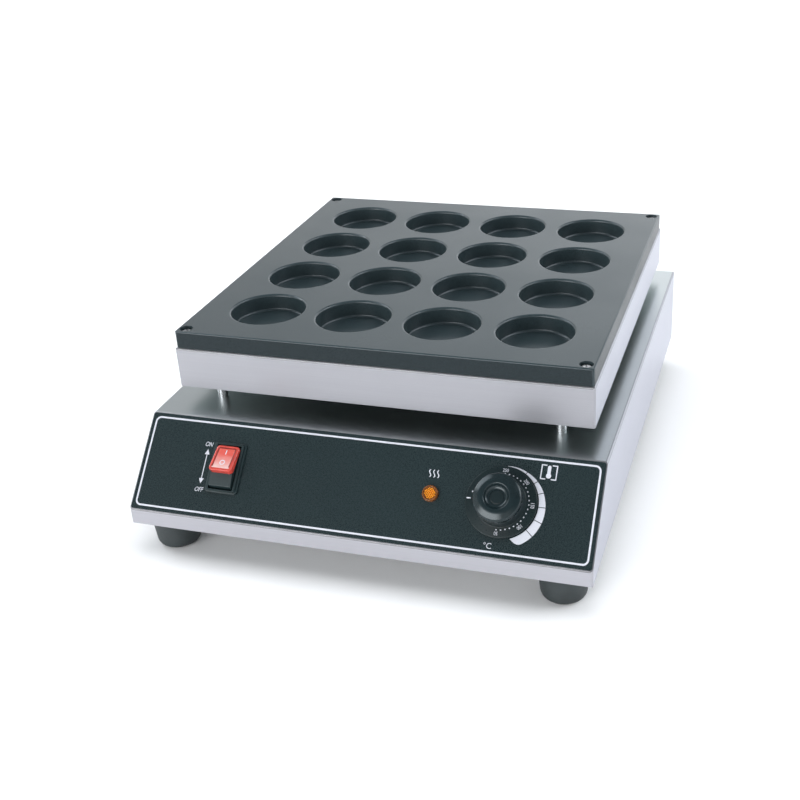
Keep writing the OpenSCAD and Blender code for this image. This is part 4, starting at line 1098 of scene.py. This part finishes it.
    def thermometer(self, bm, middle, lift):
        """A thermometer between two square brackets."""
        side, top, line = self.BRACKET_W / 2, self.BRACKET_H / 2, self.BRACKET_LINE
        arm = side - self.BRACKET_ARM
        upper = [(side, top), (arm, top), (arm, top - line), (side - line, top - line)]
        outline = upper + [(x, -y) for x, y in reversed(upper)]
        for sign in (-1, 1):
            points = [middle + Vector((sign * x, y, 0)) for x, y in outline]
            flat_patch(bm, points[::sign], lift)
        points = []
        for i in range(self.STEM_STEPS + 1):
            points.append(middle + self.STEM_TOP + polar(self.STEM, 180 * i / self.STEM_STEPS))
        for i in range(self.BULB_STEPS + 1):
            turn = self.BULB_START + self.BULB_SWEEP * i / self.BULB_STEPS
            points.append(middle + self.BULB_MIDDLE + polar(self.BULB, turn))
        flat_patch(bm, points, lift)


class GRIDDLE_OT_knob(bpy.types.Operator):
    """Make the knob with its skirt, grip and bowl, and the scale printed on the skirt"""

    bl_idname = "griddle.knob"
    bl_label = "Knob and scale"

    # Roundings of the skirt's edge, the grip's foot, the bowl's edge and the bowl's foot
    RIM_ROUND = 0.7 * MM
    GRIP_ROUND = 0.8 * MM
    BOWL_ROUND = 1.2 * MM
    LEDGE_ROUND = 4 * MM
    # Flat ledge round the cap, gap beside the cap, and the cap's own bevelled edge
    LEDGE = 2.2 * MM
    CAP_GAP = 0.1 * MM
    CAP_BEVEL_R, CAP_BEVEL_Z, CAP_ROUND = 0.8 * MM, 0.15 * MM, 0.3 * MM
    SKIRT_MARGIN = 0.2 * MM
    POLISH_FROM, POLISH_TO = 13 * MM, 19 * MM
    # The scale runs over half a turn; the off mark is a dash and a dot on the other half
    SCALE_START = -math.pi / 2
    SCALE_SWEEP = math.pi
    NUMBER_NARROW = 0.78
    DASH_L, DASH_W, DASH_ROUND = 3.6 * MM, 1.0 * MM, 0.2 * MM
    DASH_RING, DASH_ANGLE = 26.4 * MM, math.pi
    SPOT, SPOT_RING, SPOT_ANGLE = 0.62 * MM, 24.6 * MM, math.radians(167)

    def execute(self, context):
        knob, panel = context.scene.griddle_knob, context.scene.griddle_panel
        self.base = panel.sheet + knob.gap
        self.body(knob, panel)
        self.scale(knob, panel)
        return {"FINISHED"}

    def skirt_height(self, r, knob):
        """Top of the skirt at a radius, above the steel of the slope."""
        t = (knob.skirt - r) / (knob.skirt - knob.grip)
        return self.base + knob.rim + knob.rise * t

    def on_skirt(self, ring, turn, knob, sink=0.0):
        """Place on the skirt at a radius and an angle, sunk a little if asked."""
        height = self.skirt_height(ring, knob) - sink
        return Matrix.Rotation(turn, 4, "Z") @ Matrix.Translation((ring, 0, height))

    def body(self, knob, panel):
        """The turned knob, and the plain cap in its bowl."""
        top = panel.sheet + knob.height
        floor = top - knob.bowl_depth
        seat_z = floor - knob.cap_sink
        bore = knob.cap + self.CAP_GAP
        profile = round_corners([
            (0, self.base, 0),
            (knob.skirt - knob.foot, self.base, 0),
            (knob.skirt, self.base + knob.foot, 0),
            (knob.skirt, self.base + knob.rim, self.RIM_ROUND),
            (knob.grip, self.skirt_height(knob.grip, knob), self.GRIP_ROUND),
            (knob.shoulder, top - knob.shoulder_drop, knob.shoulder_round),
            (knob.crest, top, knob.crest_round),
            (knob.bowl, top, self.BOWL_ROUND),
            (knob.cap + self.LEDGE, floor, self.LEDGE_ROUND),
            (bore, floor, 0),
            (bore, seat_z, 0),
            (0, seat_z, 0)], 10)
        bm = bmesh.new()
        lathe(bm, profile, 2 * ROUND_STEPS)
        for face in bm.faces:
            reached = face.calc_center_median().xy.length
            face.material_index = 1 if reached > knob.grip - self.SKIRT_MARGIN else 0
        seat = joint_matrix("dial_turn")
        polish = reach(seat, 2, self.POLISH_FROM, self.POLISH_TO)
        gloss = finish_named("knob_plastic", polished_finish, tone("plastic"), polish)
        satin = finish_named("skirt_plastic", moulded_finish, tinted(tone("panel"), 0.8),
                             rough=(0.26, 0.34), gloss=0.3)
        mesh = to_mesh(bm, "knob_body", seat, sharp=50)
        place("knob_body", mesh, "dial", [gloss, satin], ["knob"])
        bm = bmesh.new()
        lathe(bm, round_corners([
            (0, seat_z, 0),
            (knob.cap, seat_z, 0),
            (knob.cap, floor - self.CAP_BEVEL_Z, self.CAP_ROUND),
            (knob.cap - self.CAP_BEVEL_R, floor, self.CAP_ROUND),
            (0, floor, 0)], 4), ROUND_STEPS)
        mesh = to_mesh(bm, "knob_plain_cap", seat, sharp=50)
        place("knob_plain_cap", mesh, "dial", [black_plastic()], ["knob_cap"])

    def scale(self, knob, panel):
        """Dots and numbers on the skirt, and the off mark."""
        lift = panel.ink
        tree = ring_tree("scale_dots", ink(), disc_shape)
        dots = grow("scale_dots", tree, {
            "Count": knob.dot_count, "Ring radius": knob.dot_ring, "Start": self.SCALE_START,
            "Step": self.SCALE_SWEEP / (knob.dot_count - 1), "Width": knob.dot, "Height": 2 * lift})
        bm = bmesh.new()
        add_mesh(bm, dots, Matrix.Translation((0, 0, self.skirt_height(knob.dot_ring, knob))))
        tilt = Matrix.Rotation(math.atan2(knob.rise, knob.skirt - knob.grip), 4, "Y")
        upright = Matrix.Rotation(-math.pi / 2, 4, "Z") @ Matrix.Diagonal((self.NUMBER_NARROW, 1, 1, 1))
        for i in range(knob.numbers):
            turn = self.SCALE_START + self.SCALE_SWEEP * i / (knob.numbers - 1)
            word = word_mesh(str(knob.first + i * knob.step), knob.number_height, 2 * lift)
            add_mesh(bm, word, self.on_skirt(knob.number_ring, turn, knob) @ tilt @ upright)
        self.off_mark(bm, knob, tilt, lift)
        mesh = to_mesh(bm, "scale_print", joint_matrix("dial_turn"), turn_out=False)
        place("scale_print", mesh, "dial", [ink()])

    def off_mark(self, bm, knob, tilt, lift):
        """A dash for off, and a dot beside it."""
        dash = bmesh.new()
        flat_patch(dash, rounded_loop(self.DASH_L, self.DASH_W, self.DASH_ROUND, 0, 2), 2 * lift)
        seat = self.on_skirt(self.DASH_RING, self.DASH_ANGLE, knob, lift) @ tilt
        add_mesh(bm, plain_mesh(dash, "dash"), seat)
        spot = bmesh.new()
        lathe(spot, [(0, 0), (self.SPOT, 0), (self.SPOT, 2 * lift), (0, 2 * lift)], DISC_SIDES)
        seat = self.on_skirt(self.SPOT_RING, self.SPOT_ANGLE, knob, lift)
        add_mesh(bm, plain_mesh(spot, "spot"), seat)


class GRIDDLE_OT_rocker_switch(bpy.types.Operator):
    """Make the switch frame, the rocker and its red cap with the I and O marks"""

    bl_idname = "griddle.rocker_switch"
    bl_label = "Rocker switch"

    EDGE = 0.5 * MM
    # The rocker's outline: depth and half length of its flat underside, heights of its ends, and roundings
    BELLY, BELLY_HALF = -7 * MM, 8 * MM
    HEEL, TOE = -4 * MM, 3 * MM
    BELLY_ROUND, END_ROUND = 2 * MM, 1 * MM
    HEEL_IN, CAP_IN, SEAM = 0.2 * MM, 0.4 * MM, 0.1 * MM
    CAP_END_ROUND, CAP_START_ROUND = 0.6 * MM, 0.8 * MM
    PIN, PIN_HALF = 1.5 * MM, 12.6 * MM
    # Loops of the groove in the cap: how much narrower than the rim's inside, corner radius and depth
    WINDOW_DEPTH = 0.15 * MM
    GROOVE = ((0, 1.2 * MM, 0), (0.4 * MM, 1 * MM, 0.35 * MM), (2.0 * MM, 0.6 * MM, 0.35 * MM),
              (2.4 * MM, 0.5 * MM, WINDOW_DEPTH))
    CAP_STEPS = 5
    # Share of the cap's length, from its middle, above which the groove is darkened with painted shade
    GROOVE_SHADE_FROM = -0.3
    # Places in the cap's list of finishes, the groove's painted shade and the window with its painted
    # highlight, and tint and glow of the painted shade
    DARK, PALE = 1, 2
    RED_GLOW, DARK_TINT, DARK_GLOW = 0.06, 0.45, 0.02
    # The marks: the bar of the I and the ring of the O, with their middles on the cap
    MARK_LIFT = 0.05 * MM
    BAR_W, BAR_L, BAR_ROUND, BAR_MIDDLE = 0.8 * MM, 4.2 * MM, 0.2 * MM, 5.6 * MM
    RING_OUT, RING_IN, RING_MIDDLE = 2.4 * MM, 1.65 * MM, -4.4 * MM

    def execute(self, context):
        switch, panel = context.scene.griddle_switch, context.scene.griddle_panel
        self.frame_piece(switch, panel)
        tilted = joint_matrix("rocker_pivot") @ Matrix.Rotation(switch.tilt, 4, "X")
        self.rocker_piece(switch, tilted)
        seat = tilted @ Matrix.Translation((0, (switch.cap_low + switch.cap_high) / 2, 0))
        self.cap_piece(switch, seat)
        self.marks(switch, seat)
        return {"FINISHED"}

    def frame_piece(self, switch, panel):
        """The frame on the panel, with its collar, well and housing."""
        base, edge = panel.sheet, self.EDGE
        rim, flange = base + switch.collar, base + switch.flange
        well_w, well_l = switch.well_w, switch.well_l
        wall_w, wall_l = well_w + 2 * switch.collar_side, well_l + 2 * switch.collar_end
        frame_w, frame_l = switch.frame_w, switch.frame_l
        # Width, length, corner radius and height of each loop, from the well over the collar to the back
        levels = [
            (well_w, well_l, 0.6 * MM, -switch.well_depth),
            (well_w, well_l, 0.6 * MM, rim - edge),
            (well_w + 0.3 * edge, well_l + 0.3 * edge, 0.7 * MM, rim - 0.3 * edge),
            (well_w + edge, well_l + edge, 0.8 * MM, rim),
            (wall_w - 2 * edge, wall_l - edge, 1.4 * MM, rim),
            (wall_w - 0.6 * edge, wall_l - 0.3 * edge, 1.8 * MM, rim - 0.3 * edge),
            (wall_w, wall_l, 2 * MM, rim - edge),
            (wall_w, wall_l, 2 * MM, flange),
            (frame_w - 3 * edge, frame_l - 3 * edge, 2.4 * MM, flange - 0.1 * edge),
            (frame_w - edge, frame_l - edge, 2.8 * MM, flange - 0.5 * edge),
            (frame_w, frame_l, 3 * MM, flange - 1.6 * edge),
            (frame_w, frame_l, 3 * MM, base),
            (wall_w, wall_l, 1 * MM, base),
            (wall_w, wall_l, 1 * MM, -switch.body_depth),
        ]
        bm = bmesh.new()
        loft(bm, [rounded_loop(*level) for level in levels], cap_first=True, cap_last=True)
        mesh = to_mesh(bm, "switch_frame", joint_matrix("rocker_pivot"))
        place("switch_frame", mesh, "machine", [satin_plastic()], ["switch_housing"])

    def rocker_piece(self, switch, tilted):
        """The black rocker with its pin."""
        end = switch.well_l / 2 - switch.end_gap
        outline = round_corners([
            (0, self.BELLY, 0),
            (self.BELLY_HALF, self.BELLY, self.BELLY_ROUND),
            (end - self.HEEL_IN, self.HEEL, self.END_ROUND),
            (end - self.CAP_IN, switch.cap_base, self.CAP_END_ROUND),
            (switch.cap_low, switch.cap_base, self.CAP_START_ROUND),
            (-end, self.TOE, self.END_ROUND),
            (-end, self.HEEL, self.END_ROUND),
            (-self.BELLY_HALF, self.BELLY, self.BELLY_ROUND),
            (-self.SEAM, self.BELLY, 0)], 4)
        half, soft = switch.well_w / 2 - switch.side_gap, self.EDGE
        slices = ((-half, soft), (-half + 0.3 * soft, 0.3 * soft), (-half + soft, 0),
                  (half - soft, 0), (half - 0.3 * soft, 0.3 * soft), (half, soft))
        loops = [[Vector((x, *(p - p.normalized() * inset))) for p in outline] for x, inset in slices]
        bm = bmesh.new()
        loft(bm, loops, cap_first=True, cap_last=True)
        pin = bmesh.new()
        r, reached = self.PIN, self.PIN_HALF
        lathe(pin, [(0, -reached), (r, -reached), (r, reached), (0, reached)], ROUND_STEPS // 2)
        add_mesh(bm, plain_mesh(pin, "pin"), Matrix.Rotation(math.pi / 2, 4, "Y"))
        mesh = to_mesh(bm, "rocker_body", tilted)
        place("rocker_body", mesh, "rocker", [satin_plastic()], ["rocker"])

    def cap_piece(self, switch, seat):
        """The red cap: a rounded block with a groove round its window; the groove's upper part is in painted
        shade and the window's lower end in a painted highlight.
        """
        w, l, top = switch.cap_w, switch.cap_high - switch.cap_low, switch.cap_top
        corner, rounding, rim = switch.cap_corner, switch.cap_round, switch.cap_rim
        levels = [(w, l, corner, switch.cap_base), (w, l, corner, top - rounding)]
        for i in range(1, self.CAP_STEPS + 1):
            turn = math.pi / 2 * i / self.CAP_STEPS
            inset = rounding * (1 - math.cos(turn))
            height = top - rounding + rounding * math.sin(turn)
            levels.append((w - 2 * inset, l - 2 * inset, corner - inset, height))
        for narrower, r, depth in self.GROOVE:
            levels.append((w - 2 * rim - narrower, l - 2 * rim - narrower, r, top - depth))
        loops = [rounded_loop(*level) for level in levels]
        for loop in loops[1:]:
            for point in loop:
                point.z -= point.y * math.tan(switch.cap_slant)
        bm = bmesh.new()
        loft(bm, loops, cap_first=True, cap_last=True)
        bm.faces.ensure_lookup_table()
        count = len(loops[0])
        # Upper groove faces take painted shade; the lower ones and the window face take the window's painted
        # highlight
        for face in bm.faces[(len(levels) - len(self.GROOVE)) * count:(len(levels) - 1) * count]:
            upper = face.calc_center_median().y > self.GROOVE_SHADE_FROM * l
            face.material_index = self.DARK if upper else self.PALE
        bm.faces[-1].material_index = self.PALE
        tint = tone("red")
        red = finish_named("red_cap", lens_finish, tint, self.RED_GLOW)
        dark = finish_named("red_groove", lens_finish, tinted(tint, self.DARK_TINT), self.DARK_GLOW)
        pale = finish_named("red_window", cap_finish, tint, reach(seat, 1, -l / 2, l / 2))
        mesh = to_mesh(bm, "red_rocker_cap", seat, sharp=40)
        place("red_rocker_cap", mesh, "rocker", [red, dark, pale], ["rocker_lens"])

    def marks(self, switch, seat):
        """A bar for on and a ring for off, on the cap's window."""
        z = switch.cap_top - self.WINDOW_DEPTH
        bm = bmesh.new()
        bar = rounded_loop(self.BAR_W, self.BAR_L, self.BAR_ROUND, z, 2, self.BAR_MIDDLE)
        flat_patch(bm, bar, self.MARK_LIFT)
        rings = [round_loop(r, z, ROUND_STEPS // 2, self.RING_MIDDLE) for r in (self.RING_OUT, self.RING_IN)]
        flat_ring(bm, *rings, self.MARK_LIFT)
        for vertex in bm.verts:
            vertex.co.z -= vertex.co.y * math.tan(switch.cap_slant)
        place("rocker_marks", to_mesh(bm, "rocker_marks", seat), "rocker", [ink()])


class GRIDDLE_OT_pilot_lamp(bpy.types.Operator):
    """Make the orange lamp lens with its rim and cut facets"""

    bl_idname = "griddle.pilot_lamp"
    bl_label = "Pilot lamp"

    SIDE_ROUND, RING_ROUND, FLOOR_ROUND = 0.8 * MM, 0.5 * MM, 0.2 * MM
    LENS_GLOW, RIM_GLOW, THROUGH = 0.2, 0.01, 0.1

    def execute(self, context):
        panel, lamp = context.scene.griddle_panel, context.scene.griddle_lamp
        seat = panel_matrix(panel.lamp_x, on_panel("dial_turn")[1], panel.sheet)
        through = self.THROUGH
        orange = finish_named("orange_lens", lens_finish, tone("orange"), self.LENS_GLOW, through=through)
        rim = finish_named("orange_rim", lens_finish, tone("rim"), self.RIM_GLOW, through=through)
        bm = bmesh.new()
        lathe(bm, round_corners([
            (0, 0, 0),
            (lamp.radius, 0, 0),
            (lamp.radius, lamp.side, self.SIDE_ROUND),
            (lamp.ring, lamp.height, self.RING_ROUND),
            (lamp.ring_in, lamp.height, self.FLOOR_ROUND),
            (lamp.floor, lamp.floor_z, self.FLOOR_ROUND),
            (0, lamp.floor_z, 0)], 5), ROUND_STEPS)
        for face in bm.faces:
            face.material_index = 1
        facets = grow("lens_facets", facet_tree("lens_facets", orange), {
            "Side": lamp.grid, "Rows": lamp.rows, "Circle": lamp.circle, "Height": lamp.facet})
        turned = Matrix.Translation((0, 0, lamp.floor_z)) @ Matrix.Rotation(lamp.turn, 4, "Z")
        add_mesh(bm, facets, turned)
        mesh = to_mesh(bm, "orange_lamp_lens", seat, sharp=30)
        place("orange_lamp_lens", mesh, "machine", [orange, rim], ["lamp_lens"])
        return {"FINISHED"}


class GRIDDLE_OT_cord_inlet(bpy.types.Operator):
    """Make the inlet gland with grip ribs on its domed nut"""

    bl_idname = "griddle.cord_inlet"
    bl_label = "Cord inlet"

    RIBS = 18
    RIB, RIB_LENGTH = 1.1 * MM, 6 * MM
    RIB_SINK = 0.42 * MM
    RIB_MIDDLE = 4.2 * MM

    def execute(self, context):
        gland = node_copy("cable_gland")
        place("inlet_gland", gland, "machine", [black_plastic()], ["cable_gland"])
        low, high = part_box("gland_dome")
        middle = (low + high) / 2
        radius = (high.x - low.x) / 2
        tree = ring_tree("gland_ribs", black_plastic(), rib_shape)
        ribs = grow("gland_ribs", tree, {
            "Count": self.RIBS, "Ring radius": radius - self.RIB_SINK, "Start": 0.0,
            "Step": 2 * math.pi / self.RIBS, "Width": self.RIB, "Height": self.RIB_LENGTH})
        bm = node_bmesh("gland_dome")
        spot = Matrix.Translation((middle.x, low.y + self.RIB_MIDDLE, middle.z))
        add_mesh(bm, ribs, spot @ Matrix.Rotation(math.pi / 2, 4, "X"))
        mesh = to_mesh(bm, "inlet_dome", turn_out=False)
        place("inlet_dome", mesh, "machine", [black_plastic()], ["gland_dome"])
        dress(["gland_nut"], black_plastic())
        return {"FINISHED"}


class GRIDDLE_OT_inner_pieces(bpy.types.Operator):
    """Give the pieces inside the box and the base their finishes"""

    bl_idname = "griddle.inner_pieces"
    bl_label = "Inner pieces"

    SHEATH = {"rough": (0.45, 0.55)}
    FIBRE = {"rough": (0.8, 0.95), "grain_scale": 500.0, "bump": 0.4}
    # Name of each finish, its maker, colour and other values, and the pieces that have it
    FINISHES = (
        ("dull_tube", part_finish, (0.16, 0.155, 0.15), {"rough": 0.5},
         ("heating_tube_1", "heating_tube_2", "heating_tube_3", "heating_tube_4")),
        ("bare_brass", part_finish, (0.62, 0.42, 0.13), {"rough": 0.34},
         ("bus_bar_live", "bus_bar_neutral", "pin_nuts", "switch_tabs", "thermostat_tabs", "terminal_screws",
          "earth_stud")),
        ("bare_copper", part_finish, (0.58, 0.25, 0.13), {"rough": 0.34}, ("sensor_bulb", "capillary_tube")),
        ("fibre_board", moulded_finish, (0.68, 0.63, 0.52), FIBRE, ("insulation_board",)),
        ("pale_nylon", moulded_finish, (0.64, 0.6, 0.5), {"rough": (0.4, 0.5)},
         ("lamp_body", "thermostat_body")),
        ("white_ceramic", moulded_finish, (0.74, 0.73, 0.69), {"rough": (0.14, 0.22)}, ("terminal_block",)),
        ("brown_sheath", moulded_finish, (0.10, 0.045, 0.025), SHEATH,
         ("supply_lead", "switch_lead", "heater_lead_live")),
        ("blue_sheath", moulded_finish, (0.03, 0.09, 0.28), SHEATH, ("heater_lead_neutral",)),
        ("grey_sheath", moulded_finish, (0.3, 0.3, 0.3), SHEATH, ("lamp_leads",)),
    )

    def execute(self, context):
        for name, maker, rgb, values, nodes in self.FINISHES:
            dress(nodes, finish_named(name, maker, rgb, **values))
        dress(["clamp_bar_front", "clamp_bar_middle", "clamp_bar_rear", "bulb_saddles", "heat_shield"],
              zinc_sheet())
        dress(["plate_nuts", "clamp_studs", "clamp_nuts", "wire_tube", "wire_tube_nuts", "lamp_clip",
               "thermostat_shaft", "thermostat_screws"], bright_part())
        return {"FINISHED"}


class GRIDDLE_OT_stage(bpy.types.Operator):
    """Set the floor, the soft light and the camera"""

    bl_idname = "griddle.stage"
    bl_label = "Stage"

    def execute(self, context):
        self.floor()
        self.world(context)
        self.lamps()
        self.camera(context)
        context.scene.view_settings.view_transform = "Standard"
        return {"FINISHED"}

    def floor(self):
        """A pale floor, clear from below."""
        bm = bmesh.new()
        bmesh.ops.create_grid(bm, x_segments=1, y_segments=1, size=FLOOR_HALF)
        mesh = plain_mesh(bm, "floor")
        obj = bpy.data.objects.new("floor", mesh)
        bpy.context.scene.collection.objects.link(obj)
        finish = Finish("pale_floor")
        finish.shades(finish.noise(3.0, 2.0), *FLOOR_SHADES)
        finish.constant(Roughness=0.9, Specular_IOR_Level=0.0)
        side = finish.node("ShaderNodeNewGeometry")
        clear = finish.node("ShaderNodeBsdfTransparent")
        mix = finish.node("ShaderNodeMixShader")
        finish.link(side.outputs["Backfacing"], mix.inputs[0])
        finish.link(finish.shader.outputs["BSDF"], mix.inputs[1])
        finish.link(clear.outputs["BSDF"], mix.inputs[2])
        finish.link(mix.outputs["Shader"], finish.tree.nodes["Material Output"].inputs["Surface"])
        mesh.materials.append(finish.material)

    def world(self, context):
        """White round the horizon, dimmer overhead and high at the front right, with three soft boxes."""
        world = bpy.data.worlds.new("soft_room")
        context.scene.world = world
        world.use_nodes = True
        tree = world.node_tree
        back = tree.nodes["Background"]
        coords = tree.nodes.new("ShaderNodeTexCoord")
        split = tree.nodes.new("ShaderNodeSeparateXYZ")
        tree.links.new(coords.outputs["Generated"], split.inputs["Vector"])
        mix = tree.nodes.new("ShaderNodeMix")
        mix.data_type = "RGBA"
        tree.links.new(self.facing(tree, coords, *BEHIND), mix.inputs[0])
        sides = [socket for socket in mix.inputs if socket.type == "RGBA"]
        for stops, socket in zip((ROOM_FRONT, ROOM_BEHIND), sides):
            tree.links.new(self.by_height(tree, split, stops), socket)
        result = [socket for socket in mix.outputs if socket.type == "RGBA"][0]
        aside, above = [self.facing(tree, coords, *values) for values in (DIM_SIDE, DIM_ABOVE)]
        strength = math_node(tree, "SUBTRACT", 1.0, math_node(tree, "MULTIPLY", aside, above))
        for values in SOFT_BOXES:
            strength = math_node(tree, "ADD", strength, self.facing(tree, coords, *values))
        tree.links.new(result, back.inputs["Color"])
        tree.links.new(strength, back.inputs["Strength"])

    def by_height(self, tree, split, stops):
        """A shade that follows three stops by height."""
        ramp = tree.nodes.new("ShaderNodeValToRGB")
        tree.links.new(split.outputs["Z"], ramp.inputs["Fac"])
        points = ramp.color_ramp.elements
        points.new(stops[1][0])
        for point, (position, shade) in zip(points, stops):
            point.position = position
            point.color = shade
        return ramp.outputs["Color"]

    def facing(self, tree, coords, toward, low, high, gain):
        """A number that goes from 0 up to a gain as the view turns towards a direction."""
        nearness = tree.nodes.new("ShaderNodeVectorMath")
        nearness.operation = "DOT_PRODUCT"
        nearness.inputs[1].default_value = toward
        tree.links.new(coords.outputs["Generated"], nearness.inputs[0])
        ranged = tree.nodes.new("ShaderNodeMapRange")
        for key, value in (("From Min", low), ("From Max", high), ("To Min", 0.0), ("To Max", gain)):
            ranged.inputs[key].default_value = value
        tree.links.new(nearness.outputs["Value"], ranged.inputs["Value"])
        return ranged.outputs["Result"]

    def lamps(self):
        """One wide soft light, almost overhead."""
        light = bpy.data.lights.new("overhead", "SUN")
        light.angle = OVERHEAD_ANGLE
        light.energy = OVERHEAD_ENERGY
        obj = bpy.data.objects.new("overhead", light)
        obj.visible_glossy = False
        bpy.context.scene.collection.objects.link(obj)
        obj.rotation_euler = Vector(OVERHEAD_AIM).to_track_quat("-Z", "Y").to_euler()

    def camera(self, context):
        """The photograph's view, found from points on the plate, the box and the base."""
        right = Vector(CAMERA_RIGHT)
        forward = right.cross(Vector(CAMERA_DOWN)).normalized()
        down = forward.cross(right).normalized()
        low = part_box("base_shell")[0]
        x, y, z = CAMERA_EYE
        eye = Vector((x, low.y + y, low.z + z))
        data = bpy.data.cameras.new("photo_view")
        data.sensor_width = SENSOR
        data.lens = PICTURE_FOCAL / PICTURE_SIDE * SENSOR
        data.shift_x = (PICTURE_SIDE / 2 - PICTURE_CENTRE[0]) / PICTURE_SIDE
        data.shift_y = (PICTURE_CENTRE[1] - PICTURE_SIDE / 2) / PICTURE_SIDE
        data.clip_start, data.clip_end = CLIP
        obj = bpy.data.objects.new("photo_view", data)
        context.scene.collection.objects.link(obj)
        turn = Matrix((right, -down, -forward)).transposed().to_4x4()
        obj.matrix_world = Matrix.Translation(eye) @ turn
        context.scene.camera = obj


class GRIDDLE_PT_looks(bpy.types.Panel):
    """Lists the griddle's pieces and the values that shape them"""

    bl_idname = "GRIDDLE_PT_looks"
    bl_label = "Griddle"
    bl_space_type = "VIEW_3D"
    bl_region_type = "UI"
    bl_category = "Griddle"

    def draw(self, context):
        for operator in OPERATORS:
            self.layout.operator(operator.bl_idname)
        for key in GROUPS:
            group = getattr(context.scene, key)
            box = self.layout.box()
            for name in group.bl_rna.properties.keys():
                if name not in ("rna_type", "name"):
                    box.prop(group, name)


GROUPS = {"griddle_panel": GriddlePanel, "griddle_knob": GriddleKnob, "griddle_switch": GriddleSwitch,
          "griddle_lamp": GriddleLamp, "griddle_finish": GriddleFinish}
OPERATORS = (GRIDDLE_OT_sheet_steel, GRIDDLE_OT_cup_plate, GRIDDLE_OT_posts_and_feet, GRIDDLE_OT_panel_sheet,
             GRIDDLE_OT_knob, GRIDDLE_OT_rocker_switch, GRIDDLE_OT_pilot_lamp, GRIDDLE_OT_cord_inlet,
             GRIDDLE_OT_inner_pieces, GRIDDLE_OT_stage)


def register():
    """Registers the classes and hangs the groups on the scene."""
    for cls in (*GROUPS.values(), *OPERATORS, GRIDDLE_PT_looks):
        bpy.utils.register_class(cls)
    for key, cls in GROUPS.items():
        setattr(bpy.types.Scene, key, PointerProperty(type=cls))


def unregister():
    """Takes away what register added."""
    for key in GROUPS:
        delattr(bpy.types.Scene, key)
    for cls in reversed((*GROUPS.values(), *OPERATORS, GRIDDLE_PT_looks)):
        bpy.utils.unregister_class(cls)


def main():
    """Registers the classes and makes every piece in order."""
    register()
    for operator in OPERATORS:
        group, name = operator.bl_idname.split(".")
        getattr(getattr(bpy.ops, group), name)()


if __name__ == "__main__":
    main()
